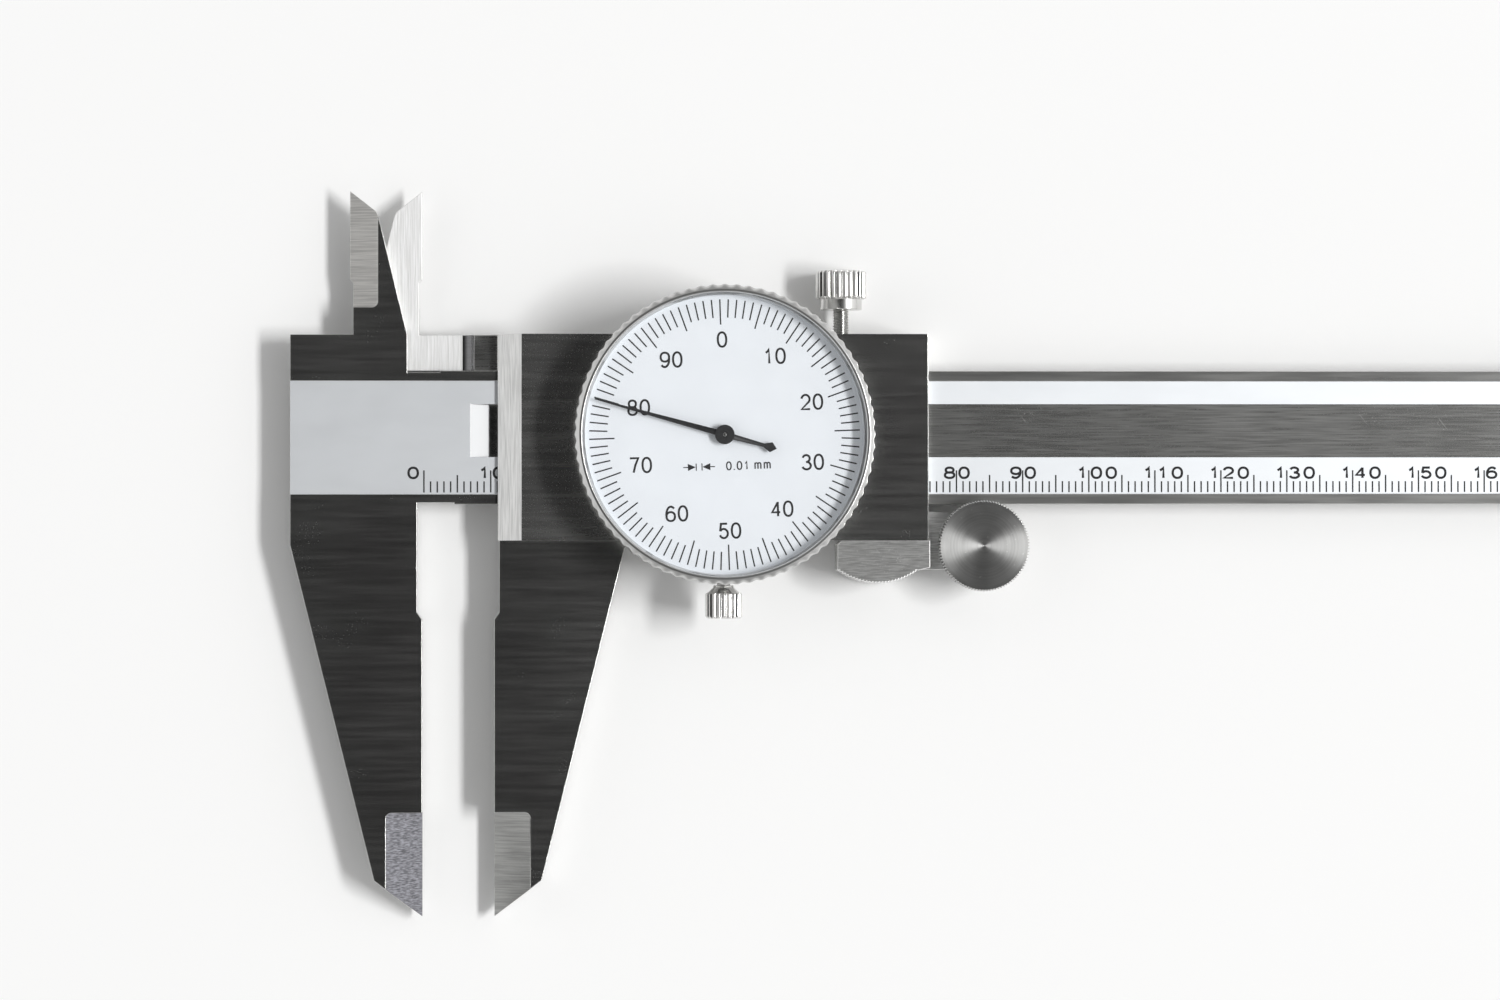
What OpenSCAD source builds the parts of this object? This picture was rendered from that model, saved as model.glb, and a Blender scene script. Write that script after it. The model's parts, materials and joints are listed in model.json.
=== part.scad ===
// Dial caliper, in millimetres.
// X runs from the head's end along the beam, Y from the beam's centre line to the inside
// jaws, and Z from the beam's back face to its front. The slider stands at "opening".

/* [Measuring] */
// Longest distance that the jaws measure
measuring_range = 300; // [150:10:300]
// Distance between the outside jaws in the modelled pose
opening = 10.8; // [4:0.1:40]

/* [Beam] */
// Width of the beam
beam_w = 20; // [19:0.5:24]
// Thickness of the beam and of the jaws
beam_t = 4; // [3.9:0.1:5]
// Length of beam left past the slider at full opening
beam_tail = 15.25; // [14:0.25:30]
// Width of the ground lip along each edge
lip_w = 1.5; // [1:0.1:1.8]
// Depth of the scale band below the lips
band_depth = 0.15; // [0.05:0.05:0.2]
// Width of the groove in the beam's front
groove_w = 8; // [7.6:0.1:8.6]
// Height of the groove's centre line above the beam's
groove_y = 1; // [0.6:0.1:1.2]
// Depth of the groove
groove_depth = 2.4; // [2.3:0.05:2.6]
// Distance from the fixed jaw's face to the groove's end
groove_start = 7.2; // [6:0.2:9]
// Length of the slope at the groove's left end
runout_l = 2.9; // [2:0.1:4]
// Tilt of the slope at the groove's left end
runout_tilt = 20.5; // [15:0.5:25]

/* [Head and jaws] */
// Width of the head and of the jaws' roots
head_w = 19.7; // [18.5:0.1:24]
// Height of the head, and of the slider's rails, past the beam's edges
rail_h = 5.45; // [5.1:0.05:6.5]
// Depth of the outside jaws below the beam's edge
jaw_depth = 61.9; // [52:0.5:64]
// Height of the outside jaws' measuring faces
jaw_face = 44.6; // [36:0.2:44.8]
// Relief of the outside jaws above their measuring faces
jaw_relief = 0.75; // [0.4:0.05:1]
// Length of the straight outer edge of each jaw's root
jaw_root = 6.1; // [5.6:0.1:8]
// Width of the outside jaws where their tip bevel starts
jaw_tip_w = 7.15; // [6.4:0.05:9]
// Height of the outside jaws' tip bevel
jaw_tip_h = 5.6; // [4:0.1:7]
// Width of the thinned strip at the jaws' tips
knife_w = 5.4; // [4:0.1:6]
// Height of the thinned strip at the jaws' tips
knife_h = 15.7; // [10:0.1:20]
// Depth of the bevel that thins the jaws' tips, at their measuring faces
knife_cut = 2.8; // [2:0.1:3]
// Distance of the fixed nib's measuring edge behind the fixed jaw's face
nib_back = 10.8; // [10.4:0.1:11.4]
// Height of the inside nibs above the head
nib_h = 21.6; // [18:0.1:24]
// Height of the nibs' relieved roots
nib_root_h = 8.35; // [6:0.1:9]
// Relief of the nibs' roots
nib_relief = 0.5; // [0.3:0.05:0.7]
// Width of the nibs below their tip bevel
nib_tip_w = 3.9; // [3.4:0.1:4.6]
// Height of the nibs' tip bevel
nib_tip_h = 3.1; // [2.4:0.1:4]
// Width of the ground knife edge of the nibs
nib_ground_w = 4.2; // [3.4:0.1:4.6]
// Height of the head left under the ground knife edge
nib_ground_y = 4.1; // [3:0.1:6]
// Depth of the bevel that grinds the nibs' knife edges
nib_cut = 1.5; // [1:0.05:1.6]
// Distance of the head's shoulder behind the fixed jaw's face
head_back = 2.2; // [1.8:0.1:2.6]

/* [Slider] */
// Length of the slider's front wall
slider_l = 64.5; // [64.3:0.1:70]
// Distance of the reading edge past the moving jaw's face
reading_gap = 0.55; // [0.3:0.05:0.7]
// Thickness of the slider's front wall
wall_t = 3; // [2.8:0.1:3.6]
// Width of the reading edge's bevel
bevel_w = 3.6; // [2.4:0.1:4.4]
// Thickness left at the reading edge
bevel_edge = 0.4; // [0.3:0.1:1]
// Thickness of the back plate and of the end stop
back_t = 1.8; // [1.6:0.1:2.4]
// Height of the moving nib's carrier next to the slider
carrier_t = 3; // [2.8:0.05:3.05]
// Length of the carrier's full height left of the moving jaw's face
carrier_full = 3; // [2.7:0.1:3.4]
// Length of the carrier's ground run-out
carrier_ramp = 2.1; // [1.6:0.1:2.6]
// Thickness of the gib
gib_t = 1.15; // [1:0.05:1.3]
// Length of the gib
gib_l = 52; // [50.5:0.5:53]
// Thickness of the depth blade
blade_t = 0.85; // [0.8:0.05:0.95]
// Distance from the moving jaw's face to the dial's centre
dial_u = 34.3; // [34:0.1:35.2]
// Height of the dial's centre above the beam's centre line
dial_y = 0.2; // [0:0.05:0.4]
// Distance from the moving jaw's face to the lock screw
lock_u = 52.2; // [51:0.1:53]
// Length of the thumb rest
rest_l = 13.95; // [13.5:0.05:15.5]
// Height of the thumb rest
rest_h = 6.5; // [6:0.1:8]
// Distance of the thumb roller's axle past the slider's end
roller_reach = 8.35; // [7.5:0.05:10]
// Radius of the roller's drum on the beam's edge
drum_r = 6.25; // [5.8:0.05:6.6]
// Radius of the roller's knurled disc
roller_r = 6.85; // [6.75:0.05:7.1]

/* [Dial] */
// Outer radius of the dial case
case_r = 20; // [18:0.1:22]
// Width of the bezel from the dial case to its scalloped rim
bezel_w = 2.3; // [2.1:0.05:2.8]
// Height of the bezel over the slider
bezel_h = 8.15; // [8:0.05:9]
// Number of scallops around the bezel
scallops = 76; // [60:4:120]
// Depth of the scallops
scallop_depth = 0.3; // [0.1:0.05:0.35]
// Width of the dial plate's and the crystal's seat past the dial case
dial_seat = 1.15; // [1:0.05:1.25]
// Width of the bezel's lip over the crystal
window_lip = 0.4; // [0.3:0.05:0.7]
// Gap between the needle's tip and the bezel's lip
needle_gap = 0.75; // [0.5:0.05:3]
// Length of the pointer's tail
tail_l = 8; // [6:0.05:9]
// Direction of the needle, in degrees from the X axis
needle_angle = 164.6; // [0:0.1:360]
// Radius of the pointer's hub
hub_r = 1.45; // [1.2:0.05:1.8]

/* [Movement] */
// Pitch of the rack
rack_pitch = 1; // [0.96:0.01:1.04]
// Teeth of the pinion that runs on the rack
pinion_teeth = 10; // [9:1:11]
// Teeth of the main gear
gear_teeth = 100; // [90:2:104]
// Teeth of the pointer arbor's pinion
arbor_teeth = 10; // [9:1:11]
// Module of the main gear
gear_module = 0.15; // [0.145:0.001:0.152]

/* [Screws and fits] */
// Thread diameter of the lock screw
lock_d = 2.4; // [2.2:0.1:2.6]
// Diameter of the lock screw's knurled head
lock_head_d = 7.6; // [7:0.1:9]
// Thread diameter of the bezel clamp screw
clamp_d = 2; // [1.8:0.1:2.2]
// Diameter of the bezel clamp screw's knurled head
clamp_head_d = 5.45; // [5:0.05:6]
// Shank diameter of the plate screws
screw_d = 1.8; // [1.6:0.1:2]
// Gap between sliding and running faces
slide_gap = 0.05; // [0.04:0.005:0.06]
// Gap around pieces that are screwed or set in place
seat_gap = 0.02; // [0.015:0.005:0.03]

/* [Hidden] */
$fn = 96;
// How far a cut runs past the face that it opens, and a joined shape into its neighbour
past = 0.5;
weld = 0.1;

half_w = beam_w / 2;
rail_y = half_w + rail_h;
band_y = half_w - lip_w;
jaw_x = head_w;
move_x = jaw_x + opening;
slider_u0 = reading_gap;
slider_u1 = reading_gap + slider_l;
beam_l = jaw_x + measuring_range + slider_u1 + beam_tail;
wall_z = beam_t + slide_gap;
front_z = wall_z + wall_t;
plate_z = -slide_gap;
base_z = plate_z - back_t;
groove_z = beam_t - groove_depth;
groove_top = groove_y + groove_w / 2;
jaw_tip = half_w + jaw_depth;

// The nibs lie on either side of the beam's middle plane
mid_z = beam_t / 2;
nib_gap = slide_gap;
nib_root_w = nib_back - head_back;

// Rack, pinion and gears, in trapezoid teeth with backlash
backlash = 0.2;
flank = tan(20);
rack_cover = 0.15;
rack_body = 2.15;
rack_pin_d = 0.9;
rack_module = rack_pitch / PI;
pinion_r = rack_module * pinion_teeth / 2;
tooth_tip = 0.8;
tooth_root = 1.2;
rack_back = groove_top - seat_gap;
rack_line = rack_back - rack_body - tooth_root * rack_module;
pinion_y = rack_line - pinion_r;
train = gear_module * (gear_teeth + arbor_teeth) / 2;
dial_x = move_x + dial_u;
gear_x = dial_x - sqrt(pow(train, 2) - pow(pinion_y - dial_y, 2));
mesh_angle = atan2(dial_y - pinion_y, dial_x - gear_x);
rack_lead = 4;
rack_before = ceil((opening + rack_lead) / rack_pitch);
rack_after = ceil((measuring_range - opening + rack_lead) / rack_pitch);
rack_x0 = gear_x - (rack_before + 0.5) * rack_pitch;
rack_x1 = gear_x + (rack_after + 0.5) * rack_pitch;

// Levels of the depth blade in the groove
blade_sink = 0.1;
blade_z = beam_t - band_depth - blade_sink - blade_t;
blade_top = blade_z + blade_t;
rack_t = blade_z - rack_cover - groove_z;
rack_pin_in = 3;
rack_pin_l = rack_t + 0.9;
blade_u0 = 12;
blade_w = groove_w - 2 * slide_gap;
boss_in = 2.05;
boss_u1 = slider_u1 - boss_in;
boss_w = groove_w - 0.8;
blade_screw_in = [6, 5];
blade_screw_u = [blade_u0 + blade_screw_in[0], boss_u1 - blade_screw_in[1]];
blade_screw_d = 1.2;
blade_screw_head = 2;

// Levels of the dial, up from the slider's front
case_floor = 1.2;
case_z = front_z + case_floor;
case_wall = 1.2;
case_screw_in = 4;
bezel_r = case_r + bezel_w;
glass_r = case_r + dial_seat;
window_r = glass_r - window_lip;
needle_l = window_r - needle_gap;
dial_t = 0.4;
dial_z = front_z + bezel_h - 3.3;
case_top = dial_z - 0.3;
bezel_top = front_z + bezel_h;
lip_t = 0.3;
glass_top = bezel_top - 2 * lip_t;
glass_t = 1;
glass_z = glass_top - glass_t;
bezel_bore = case_r + slide_gap;
rim_z = front_z + 0.25;
skirt_z = front_z + 1.6;
rim_r = bezel_bore + 0.5;
ring_z = front_z + 2.7;
ring_t = 0.5;
ring_in = 0.3;
peak_r = bezel_r - 0.75;

// Levels of the movement
gear_t = 0.35;
gear_z = case_z + 0.45;
hub_h = 1.2;
take_up_z = gear_z + 0.75;
bridge_z = case_z + 2.15;
bridge_t = 0.8;
arbor_r = 0.6;
pivot_r = 0.4;
thin_r = 0.45;
bush_r = 2.05;
centre_bush_r = 1.2;
spring_r = 4.2;
spring_w = 0.4;
pillar_r = 1;
pillar_gap = 0.5;
pillar_off = gear_module * (gear_teeth / 2 + tooth_tip) + pillar_r + pillar_gap;
pillar_past = 4.3;
bridge_w = 4.8;
pillar_screw_d = 0.9;
pillar_screw_head = 1.6;
pointer_z = dial_z + dial_t + 0.45;
pointer_t = 0.3;
hub_t = 0.7;

// Lock screw and gib in the top rail
lock_x = move_x + lock_u;
lock_z = mid_z;
gib_u0 = 8;
gib_y = half_w + slide_gap;
gib_top = gib_y + gib_t;
gib_room = 0.1;
gib_screw_d = 2;
gib_screw_in = 8;
gib_screw_gap = 8.2;
gib_screw_u = [gib_u0 + gib_screw_in, lock_u - gib_screw_gap];
pad_gap = 0.2;
pad_y = gib_top + pad_gap;
pad_l = 1.4;
pad_d = lock_d + 0.6;
lock_collar_d = 6.35;
lock_collar_y = rail_y + 3.85;
lock_head_y = lock_collar_y + 1.6;
lock_head_l = 4.3;

// Bezel clamp under the dial
clamp_z = front_z - 0.05;
shoe_gap = 0.25;
shoe_y = dial_y - rim_r - shoe_gap;
shoe_t = 0.7;
shoe_w = 3.1;
shoe_h = 2.5;
lug_y = shoe_y - shoe_t - 0.6;
lug_w = 4.2;
lug_z = clamp_z - 2;
neck_y = lug_y - 0.3;
clamp_neck_d = 3.1;
clamp_neck_l = 0.3;
clamp_cone_l = 0.8;
clamp_head_l = 3.85;

// Thumb rest, roller and its arm
grind_step = 0.1;
grind_r = 0.9;
rest_past = 0.3;
rest_u1 = slider_u1 + rest_past;
rest_u = rest_u1 - rest_l;
rest_y = -rail_y - seat_gap;
rest_z0 = -0.6;
rest_z1 = front_z - 0.8;
rest_peak = 6.1;
rest_sag = 2;
rest_arc_r = (rest_peak * rest_peak + rest_sag * rest_sag) / (2 * rest_sag);
rest_tail = rest_sag + 0.4;
rest_low = rest_y - rest_h;
rest_teeth = 26;
rest_screw_u = [rest_u + 2, rest_u + 5.6];
rest_screw_z = mid_z;
roller_u = slider_u1 + roller_reach;
roller_x = move_x + roller_u;
roller_y = -half_w - slide_gap - drum_r;
arm_z0 = rest_z0;
arm_z1 = 1.2;
arm_top = -half_w - 1.1;
arm_h = 4.4;
arm_low = rest_y - arm_h;
arm_l = 6.2;
arm_u0 = rest_u1 - arm_l;
arm_u1 = rest_u1 + 0.1;
drum_z = 1.5;
disc_z = beam_t + 0.4;
disc_top = front_z - 0.05;
axle_r = 1.5;

// End stop on the back of the beam's end
stop_x0 = jaw_x + measuring_range + slider_u1 + 0.4;
stop_x1 = beam_l - 1.3;
stop_y = half_w - 0.5;

// Outline of a spur gear with one tooth centred at "turn"
function gear_points(teeth, module_mm, turn) =
  let (r = module_mm * teeth / 2, s = PI * module_mm / 4 * (1 - backlash))
  let (tip = module_mm * tooth_tip, root = module_mm * tooth_root)
  let (a_tip = asin((s - tip * flank) / (r + tip)), a_root = asin((s + root * flank) / (r - root)))
  [for (i = [0:teeth - 1], c = [[-a_root, r - root], [-a_tip, r + tip], [a_tip, r + tip], [a_root, r - root]])
    let (a = turn + i * 360 / teeth + c[0]) c[1] * [cos(a), sin(a)]];

// Outline of a straight knurl with pointed teeth
function knurl_points(r, teeth, depth) =
  [for (i = [0:2 * teeth - 1]) (i % 2 == 0 ? r : r - depth) * [cos(i * 180 / teeth), sin(i * 180 / teeth)]];

// Outline of the bezel's scalloped grip, in four points for each scallop
function scallop_points(r, count, depth) =
  [for (i = [0:4 * count - 1])
    let (a = i * 90 / count) (r - depth * (1 - cos(i * 90)) / 2) * [cos(a), sin(a)]];

// Lower edge of the thumb rest: an arc cut into pointed teeth
function rest_points() =
  let (a = asin(rest_peak / rest_arc_r))
  concat(
    [for (i = [0:2 * rest_teeth])
      let (t = -a + i * a / rest_teeth, r = rest_arc_r - (i % 2 == 0 ? 0 : 0.25))
      [move_x + rest_u + rest_peak + r * sin(t), rest_low + rest_arc_r - r * cos(t)]],
    [[move_x + rest_u1, rest_low + rest_tail]]
  );

// Flat-headed screw with its head's top at the origin, pointing along -Z
module flat_screw(d, head_d, length) {
  head_l = (head_d - d) / 2;
  difference() {
    union() {
      translate([0, 0, -length])
        cylinder(d = d, h = length);
      translate([0, 0, -head_l])
        cylinder(d1 = d, d2 = head_d, h = head_l);
    }
    translate([-head_d, -head_d * 0.08, -head_l * 0.6])
      cube([2 * head_d, head_d * 0.16, head_l]);
  }
}

// Hole that a flat-headed screw sits in, with the seat's gap all round
module flat_hole(d, head_d, length) {
  head_l = (head_d - d) / 2;
  translate([0, 0, -length - seat_gap])
    cylinder(d = d + 2 * seat_gap, h = length + past);
  translate([0, 0, -head_l])
    cylinder(d1 = d + 2 * seat_gap, d2 = head_d + 2 * seat_gap, h = head_l);
  cylinder(d = head_d + 2 * seat_gap, h = past);
}

// Turns a shape built along +Z to run along +Y, from a point on its axis
module along_y(p) {
  translate(p)
    rotate([-90, 0, 0])
      children();
}

// Extrudes a drawing in X and Z along Y, from y0 to y1
module across(y0, y1) {
  translate([0, y1, 0])
    rotate([90, 0, 0])
      linear_extrude(y1 - y0)
        children();
}

module at_points(points) {
  for (p = points)
    translate(p)
      children();
}

// Outline of an outside jaw with its face at X = 0 and its body towards -X
module jaw_outline(top) {
  polygon([
    [-head_w, -top],
    [-head_w, -half_w - jaw_root],
    [-jaw_tip_w, -jaw_tip + jaw_tip_h],
    [0, -jaw_tip],
    [0, -jaw_tip + jaw_face],
    [-jaw_relief, -jaw_tip + jaw_face + 1.5 * jaw_relief],
    [-jaw_relief, -top]
  ]);
}

// Outline of an inside nib with its edge at X = 0 and its body towards +X
module nib_outline(foot) {
  tip = rail_y + nib_h;
  polygon([
    [nib_relief, foot],
    [nib_relief, rail_y + nib_root_h - nib_relief],
    [0, rail_y + nib_root_h],
    [0, tip],
    [nib_tip_w, tip - nib_tip_h],
    [nib_tip_w + 0.4, tip - nib_tip_h - 0.9],
    [nib_root_w, rail_y],
    [nib_root_w, foot]
  ]);
}

// Wedge that grinds a bevel of width w and height h down from Z = 0 to an edge at X = 0, with
// the round corner that the wheel leaves at its far top
module ground_wedge(w, h, depth) {
  intersection() {
    across(-past, h)
      polygon([
        [-past, past], [-past, -depth], [0, -depth], [w, -grind_step], [w, past]
      ]);
    translate([0, 0, -2 * depth])
      linear_extrude(3 * depth) {
        translate([-past, -past])
          square([w + past, past + h - grind_r]);
        translate([-past, -past])
          square([w - grind_r + past, past + h]);
        translate([w - grind_r, h - grind_r])
          circle(r = grind_r);
      }
  }
}

// Bevel that thins an outside jaw's tip towards its face at X = 0
module knife_bevel() {
  translate([0, -jaw_tip, beam_t])
    mirror([1, 0, 0])
      ground_wedge(knife_w, knife_h, knife_cut);
}

// Bevel that grinds a nib's knife edge at X = 0, down from Z = 0
module nib_bevel() {
  h = nib_h - nib_ground_y;
  translate([0, rail_y + nib_h, 0])
    mirror([0, 1, 0])
      ground_wedge(nib_ground_w, h, nib_cut);
}

// Head above the beam, with room behind it for the moving nib's carrier
module head_top() {
  low = mid_z + nib_gap;
  lip = carrier_t + 0.15;
  shoulder = jaw_x - carrier_full - carrier_ramp - 0.3;
  difference() {
    translate([0, 0, low])
      linear_extrude(beam_t - low) {
        square([jaw_x - head_back, rail_y]);
        translate([jaw_x - nib_back, 0])
          nib_outline(half_w);
      }
    translate([jaw_x - nib_back, 0, beam_t])
      nib_bevel();
    translate([shoulder, half_w, 0])
      cube([head_w, rail_h + past, lip]);
  }
}

module main_beam() {
  relief = 0.25;
  relief_low = 5.6;
  relief_top = 4.9;
  color([0.42, 0.43, 0.44])
    difference() {
      union() {
        translate([0, -half_w, 0])
          cube([beam_l, beam_w, beam_t]);
        translate([jaw_x, 0, 0])
          linear_extrude(beam_t)
            jaw_outline(0);
        head_top();
      }
      translate([jaw_x, 0, 0])
        knife_bevel();
      translate([-past, -band_y, beam_t - band_depth])
        cube([beam_l + 2 * past, 2 * band_y, past]);
      across(groove_top - groove_w, groove_top)
        translate([jaw_x + groove_start, 0])
          polygon([
            [0, beam_t + past],
            [0, beam_t - band_depth],
            [runout_l, beam_t - band_depth - runout_l * tan(runout_tilt)],
            [runout_l, groove_z],
            [beam_l, groove_z],
            [beam_l, beam_t + past]
          ]);
      translate([jaw_x - jaw_relief, -half_w - past, -past])
        cube([relief_low, relief + past, beam_t + 2 * past]);
      translate([jaw_x - head_back, half_w - relief, -past])
        cube([relief_top, relief + past, beam_t + 2 * past]);
      at_points(rack_pin_points())
        translate([0, 0, -rack_pin_l])
          cylinder(d = rack_pin_d + 2 * seat_gap, h = rack_pin_l + past);
      at_points(stop_screw_points())
        rotate([180, 0, 0])
          flat_hole(screw_d, 2 * screw_d, back_t + 0.9);
    }
}

function rack_pin_points() =
  let (y = rack_back - rack_body / 2, n = 5)
  let (x0 = rack_x0 + rack_pin_in, step = (rack_x1 - rack_x0 - 2 * rack_pin_in) / (n - 1))
  [for (i = [0:n - 1]) [x0 + i * step, y, groove_z + rack_t]];

module rack() {
  line = rack_line;
  s = rack_pitch / 4 * (1 - backlash);
  tip = tooth_tip * rack_module;
  root = tooth_root * rack_module;
  teeth = [for (k = [-rack_before:rack_after], c = [[-1, root, 1], [-1, -tip, 0], [1, -tip, 0], [1, root, 1]])
    [gear_x + k * rack_pitch + c[0] * (s + c[1] * flank), line + c[1]]];
  back = [[rack_x1, line + root], [rack_x1, rack_back], [rack_x0, rack_back], [rack_x0, line + root]];
  color([0.55, 0.55, 0.56])
    translate([0, 0, groove_z])
      linear_extrude(rack_t)
        difference() {
          polygon(concat(teeth, back));
          for (p = rack_pin_points())
            translate([p[0], p[1]])
              circle(d = rack_pin_d + 2 * seat_gap);
        }
}

module rack_pins() {
  color([0.6, 0.6, 0.6])
    at_points(rack_pin_points())
      translate([0, 0, -rack_pin_l])
        cylinder(d = rack_pin_d, h = rack_pin_l);
}

function stop_screw_points() = [for (s = [-1, 1]) [(stop_x0 + stop_x1) / 2, s * 6.5, base_z]];

module end_stop() {
  color([0.45, 0.46, 0.47])
    difference() {
      translate([stop_x0, -stop_y, base_z])
        cube([stop_x1 - stop_x0, 2 * stop_y, -base_z]);
      at_points(stop_screw_points())
        rotate([180, 0, 0])
          flat_hole(screw_d, 2 * screw_d, back_t + 0.9);
    }
}

module end_stop_screws() {
  color([0.6, 0.6, 0.6])
    at_points(stop_screw_points())
      rotate([180, 0, 0])
        flat_screw(screw_d, 2 * screw_d, back_t + 0.9);
}

// Carrier that joins the moving nib to the slider, stepped down to pass behind the head
module carrier() {
  low = mid_z - nib_gap;
  rise = carrier_t - low;
  ramp_r = (carrier_ramp * carrier_ramp + rise * rise) / (2 * rise);
  foot = -carrier_full - carrier_ramp;
  left = -nib_back - nib_root_w;
  difference() {
    union() {
      across(half_w + slide_gap, rail_y)
        difference() {
          translate([left, 0])
            square([slider_u0 + weld - left, carrier_t]);
          translate([left - past, low])
            square([foot - left + past, beam_t]);
          translate([foot, low + ramp_r])
            circle(r = ramp_r);
        }
      translate([-nib_back, 0, 0])
        mirror([1, 0, 0])
          linear_extrude(low)
            nib_outline(half_w + slide_gap);
    }
    translate([-nib_back, 0, 0])
      mirror([1, 0, 0])
        mirror([0, 0, 1])
          nib_bevel();
  }
}

module slider() {
  color([0.36, 0.37, 0.38])
    difference() {
      translate([move_x, 0, 0])
        union() {
          across(-rail_y, rail_y)
            polygon([
              [slider_u0, wall_z],
              [slider_u1, wall_z],
              [slider_u1, front_z],
              [slider_u0 + bevel_w, front_z],
              [slider_u0, wall_z + bevel_edge]
            ]);
          translate([slider_u0, half_w + slide_gap, plate_z])
            cube([slider_l, rail_h - slide_gap, wall_z + weld - plate_z]);
          translate([jaw_relief, -rail_y, plate_z])
            cube([slider_u1 - jaw_relief, rail_h - slide_gap, wall_z + weld - plate_z]);
          difference() {
            mirror([1, 0, 0])
              linear_extrude(beam_t)
                jaw_outline(half_w + slide_gap);
            mirror([1, 0, 0])
              knife_bevel();
          }
          carrier();
          translate([blade_u0, groove_y - boss_w / 2, blade_top])
            cube([boss_u1 - blade_u0, boss_w, wall_z + weld - blade_top]);
        }
      translate([move_x + gib_u0 - gib_room, half_w, plate_z - past])
        cube([gib_l + 2 * gib_room, slide_gap + gib_t + gib_room, wall_z - plate_z + past]);
      along_y([lock_x, half_w, lock_z]) {
        cylinder(d = pad_d + 2 * slide_gap, h = pad_y + pad_l + 0.9 - half_w);
        cylinder(d = lock_d + 2 * slide_gap, h = rail_h + past);
      }
      for (u = gib_screw_u)
        along_y([move_x + u, half_w, lock_z])
          cylinder(d = gib_screw_d + 2 * seat_gap, h = rail_h + past);
      at_points(back_screw_points())
        rotate([180, 0, 0])
          flat_hole(screw_d, 2 * screw_d, back_t + 2.6);
      at_points(case_screw_points())
        flat_hole(screw_d, 2 * screw_d, case_floor + 2);
      at_points(blade_screw_points())
        rotate([180, 0, 0])
          flat_hole(blade_screw_d, blade_screw_head, blade_t + 2);
      at_points(rest_screw_points())
        rotate([-90, 0, 0])
          cylinder(d = screw_d + 2 * seat_gap, h = rest_h + 1.8);
      translate([gear_x, pinion_y, beam_t - groove_depth])
        cylinder(r = bush_r + seat_gap, h = front_z);
    }
}

function back_screw_points() =
  [for (u = [4.5, slider_u1 - 3.4], s = [-1, 1]) [move_x + u, s * (rail_y - 2.3), base_z]];

module back_plate() {
  color([0.45, 0.46, 0.47])
    difference() {
      translate([move_x + 1.2, -rail_y, base_z])
        cube([slider_u1 - 1.2, 2 * rail_y, back_t]);
      at_points(back_screw_points())
        rotate([180, 0, 0])
          flat_hole(screw_d, 2 * screw_d, back_t + 2.6);
    }
}

module back_plate_screws() {
  color([0.6, 0.6, 0.6])
    at_points(back_screw_points())
      rotate([180, 0, 0])
        flat_screw(screw_d, 2 * screw_d, back_t + 2.6);
}

module gib() {
  color([0.72, 0.58, 0.3])
    translate([move_x + gib_u0, gib_y, 0])
      cube([gib_l, gib_t, beam_t]);
}

module gib_screws() {
  l = rail_y - gib_top - 0.4;
  color([0.5, 0.5, 0.5])
    for (u = gib_screw_u)
      along_y([move_x + u, gib_top, lock_z])
        difference() {
          cylinder(d = gib_screw_d, h = l);
          translate([-gib_screw_d, -0.2, l - 0.6])
            cube([2 * gib_screw_d, 0.4, 1]);
        }
}

function blade_screw_points() = [for (u = blade_screw_u) [move_x + u, groove_y - 1.8, blade_z]];

module depth_blade() {
  color([0.4, 0.41, 0.42])
    difference() {
      translate([move_x + blade_u0, groove_y - blade_w / 2, blade_z])
        cube([beam_l - jaw_x - blade_u0, blade_w, blade_t]);
      at_points(blade_screw_points())
        rotate([180, 0, 0])
          flat_hole(blade_screw_d, blade_screw_head, blade_t + 2);
      translate([gear_x, pinion_y, blade_z - past])
        cylinder(r = bush_r + seat_gap, h = blade_t + 2 * past);
    }
}

module depth_blade_screws() {
  color([0.6, 0.6, 0.6])
    at_points(blade_screw_points())
      rotate([180, 0, 0])
        flat_screw(blade_screw_d, blade_screw_head, blade_t + 2);
}

function rest_screw_points() =
  [for (u = rest_screw_u) [move_x + u, rest_y - rest_h + 1.9, rest_screw_z]];

module thumb_rest() {
  x0 = move_x + rest_u;
  x1 = move_x + rest_u1;
  color([0.5, 0.5, 0.5])
    difference() {
      translate([0, 0, rest_z0])
        linear_extrude(rest_z1 - rest_z0)
          polygon(concat([[x1, rest_y], [x0 + 0.6, rest_y], [x0, rest_y - 0.6]], rest_points()));
      translate([move_x + arm_u0 - seat_gap, arm_low - seat_gap, rest_z0 - past])
        cube([head_w, rest_y - arm_low + past, arm_z1 - rest_z0 + seat_gap + past]);
      at_points(rest_screw_points())
        rotate([-90, 0, 0]) {
          cylinder(d = screw_d + 2 * seat_gap, h = rest_h + 1.8);
          translate([0, 0, -rest_h])
            cylinder(d = 1.8 * screw_d + 2 * seat_gap, h = rest_h + 1.2);
        }
      at_points([arm_screw_point()])
        rotate([180, 0, 0])
          flat_hole(screw_d, 2 * screw_d, arm_z1 - arm_z0 + 2.4);
    }
}

module thumb_rest_screws() {
  color([0.6, 0.6, 0.6])
    at_points(rest_screw_points())
      rotate([-90, 0, 0])
        difference() {
          union() {
            cylinder(d = screw_d, h = rest_h + 1.6);
            cylinder(d = 1.8 * screw_d, h = 1.2);
          }
          translate([0, 0, -past])
            cylinder(d = 0.9 * screw_d, h = past + 0.7, $fn = 6);
        }
}

function arm_screw_point() = [move_x + arm_u0 + 3, (rest_y + arm_low) / 2, arm_z0];

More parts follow.
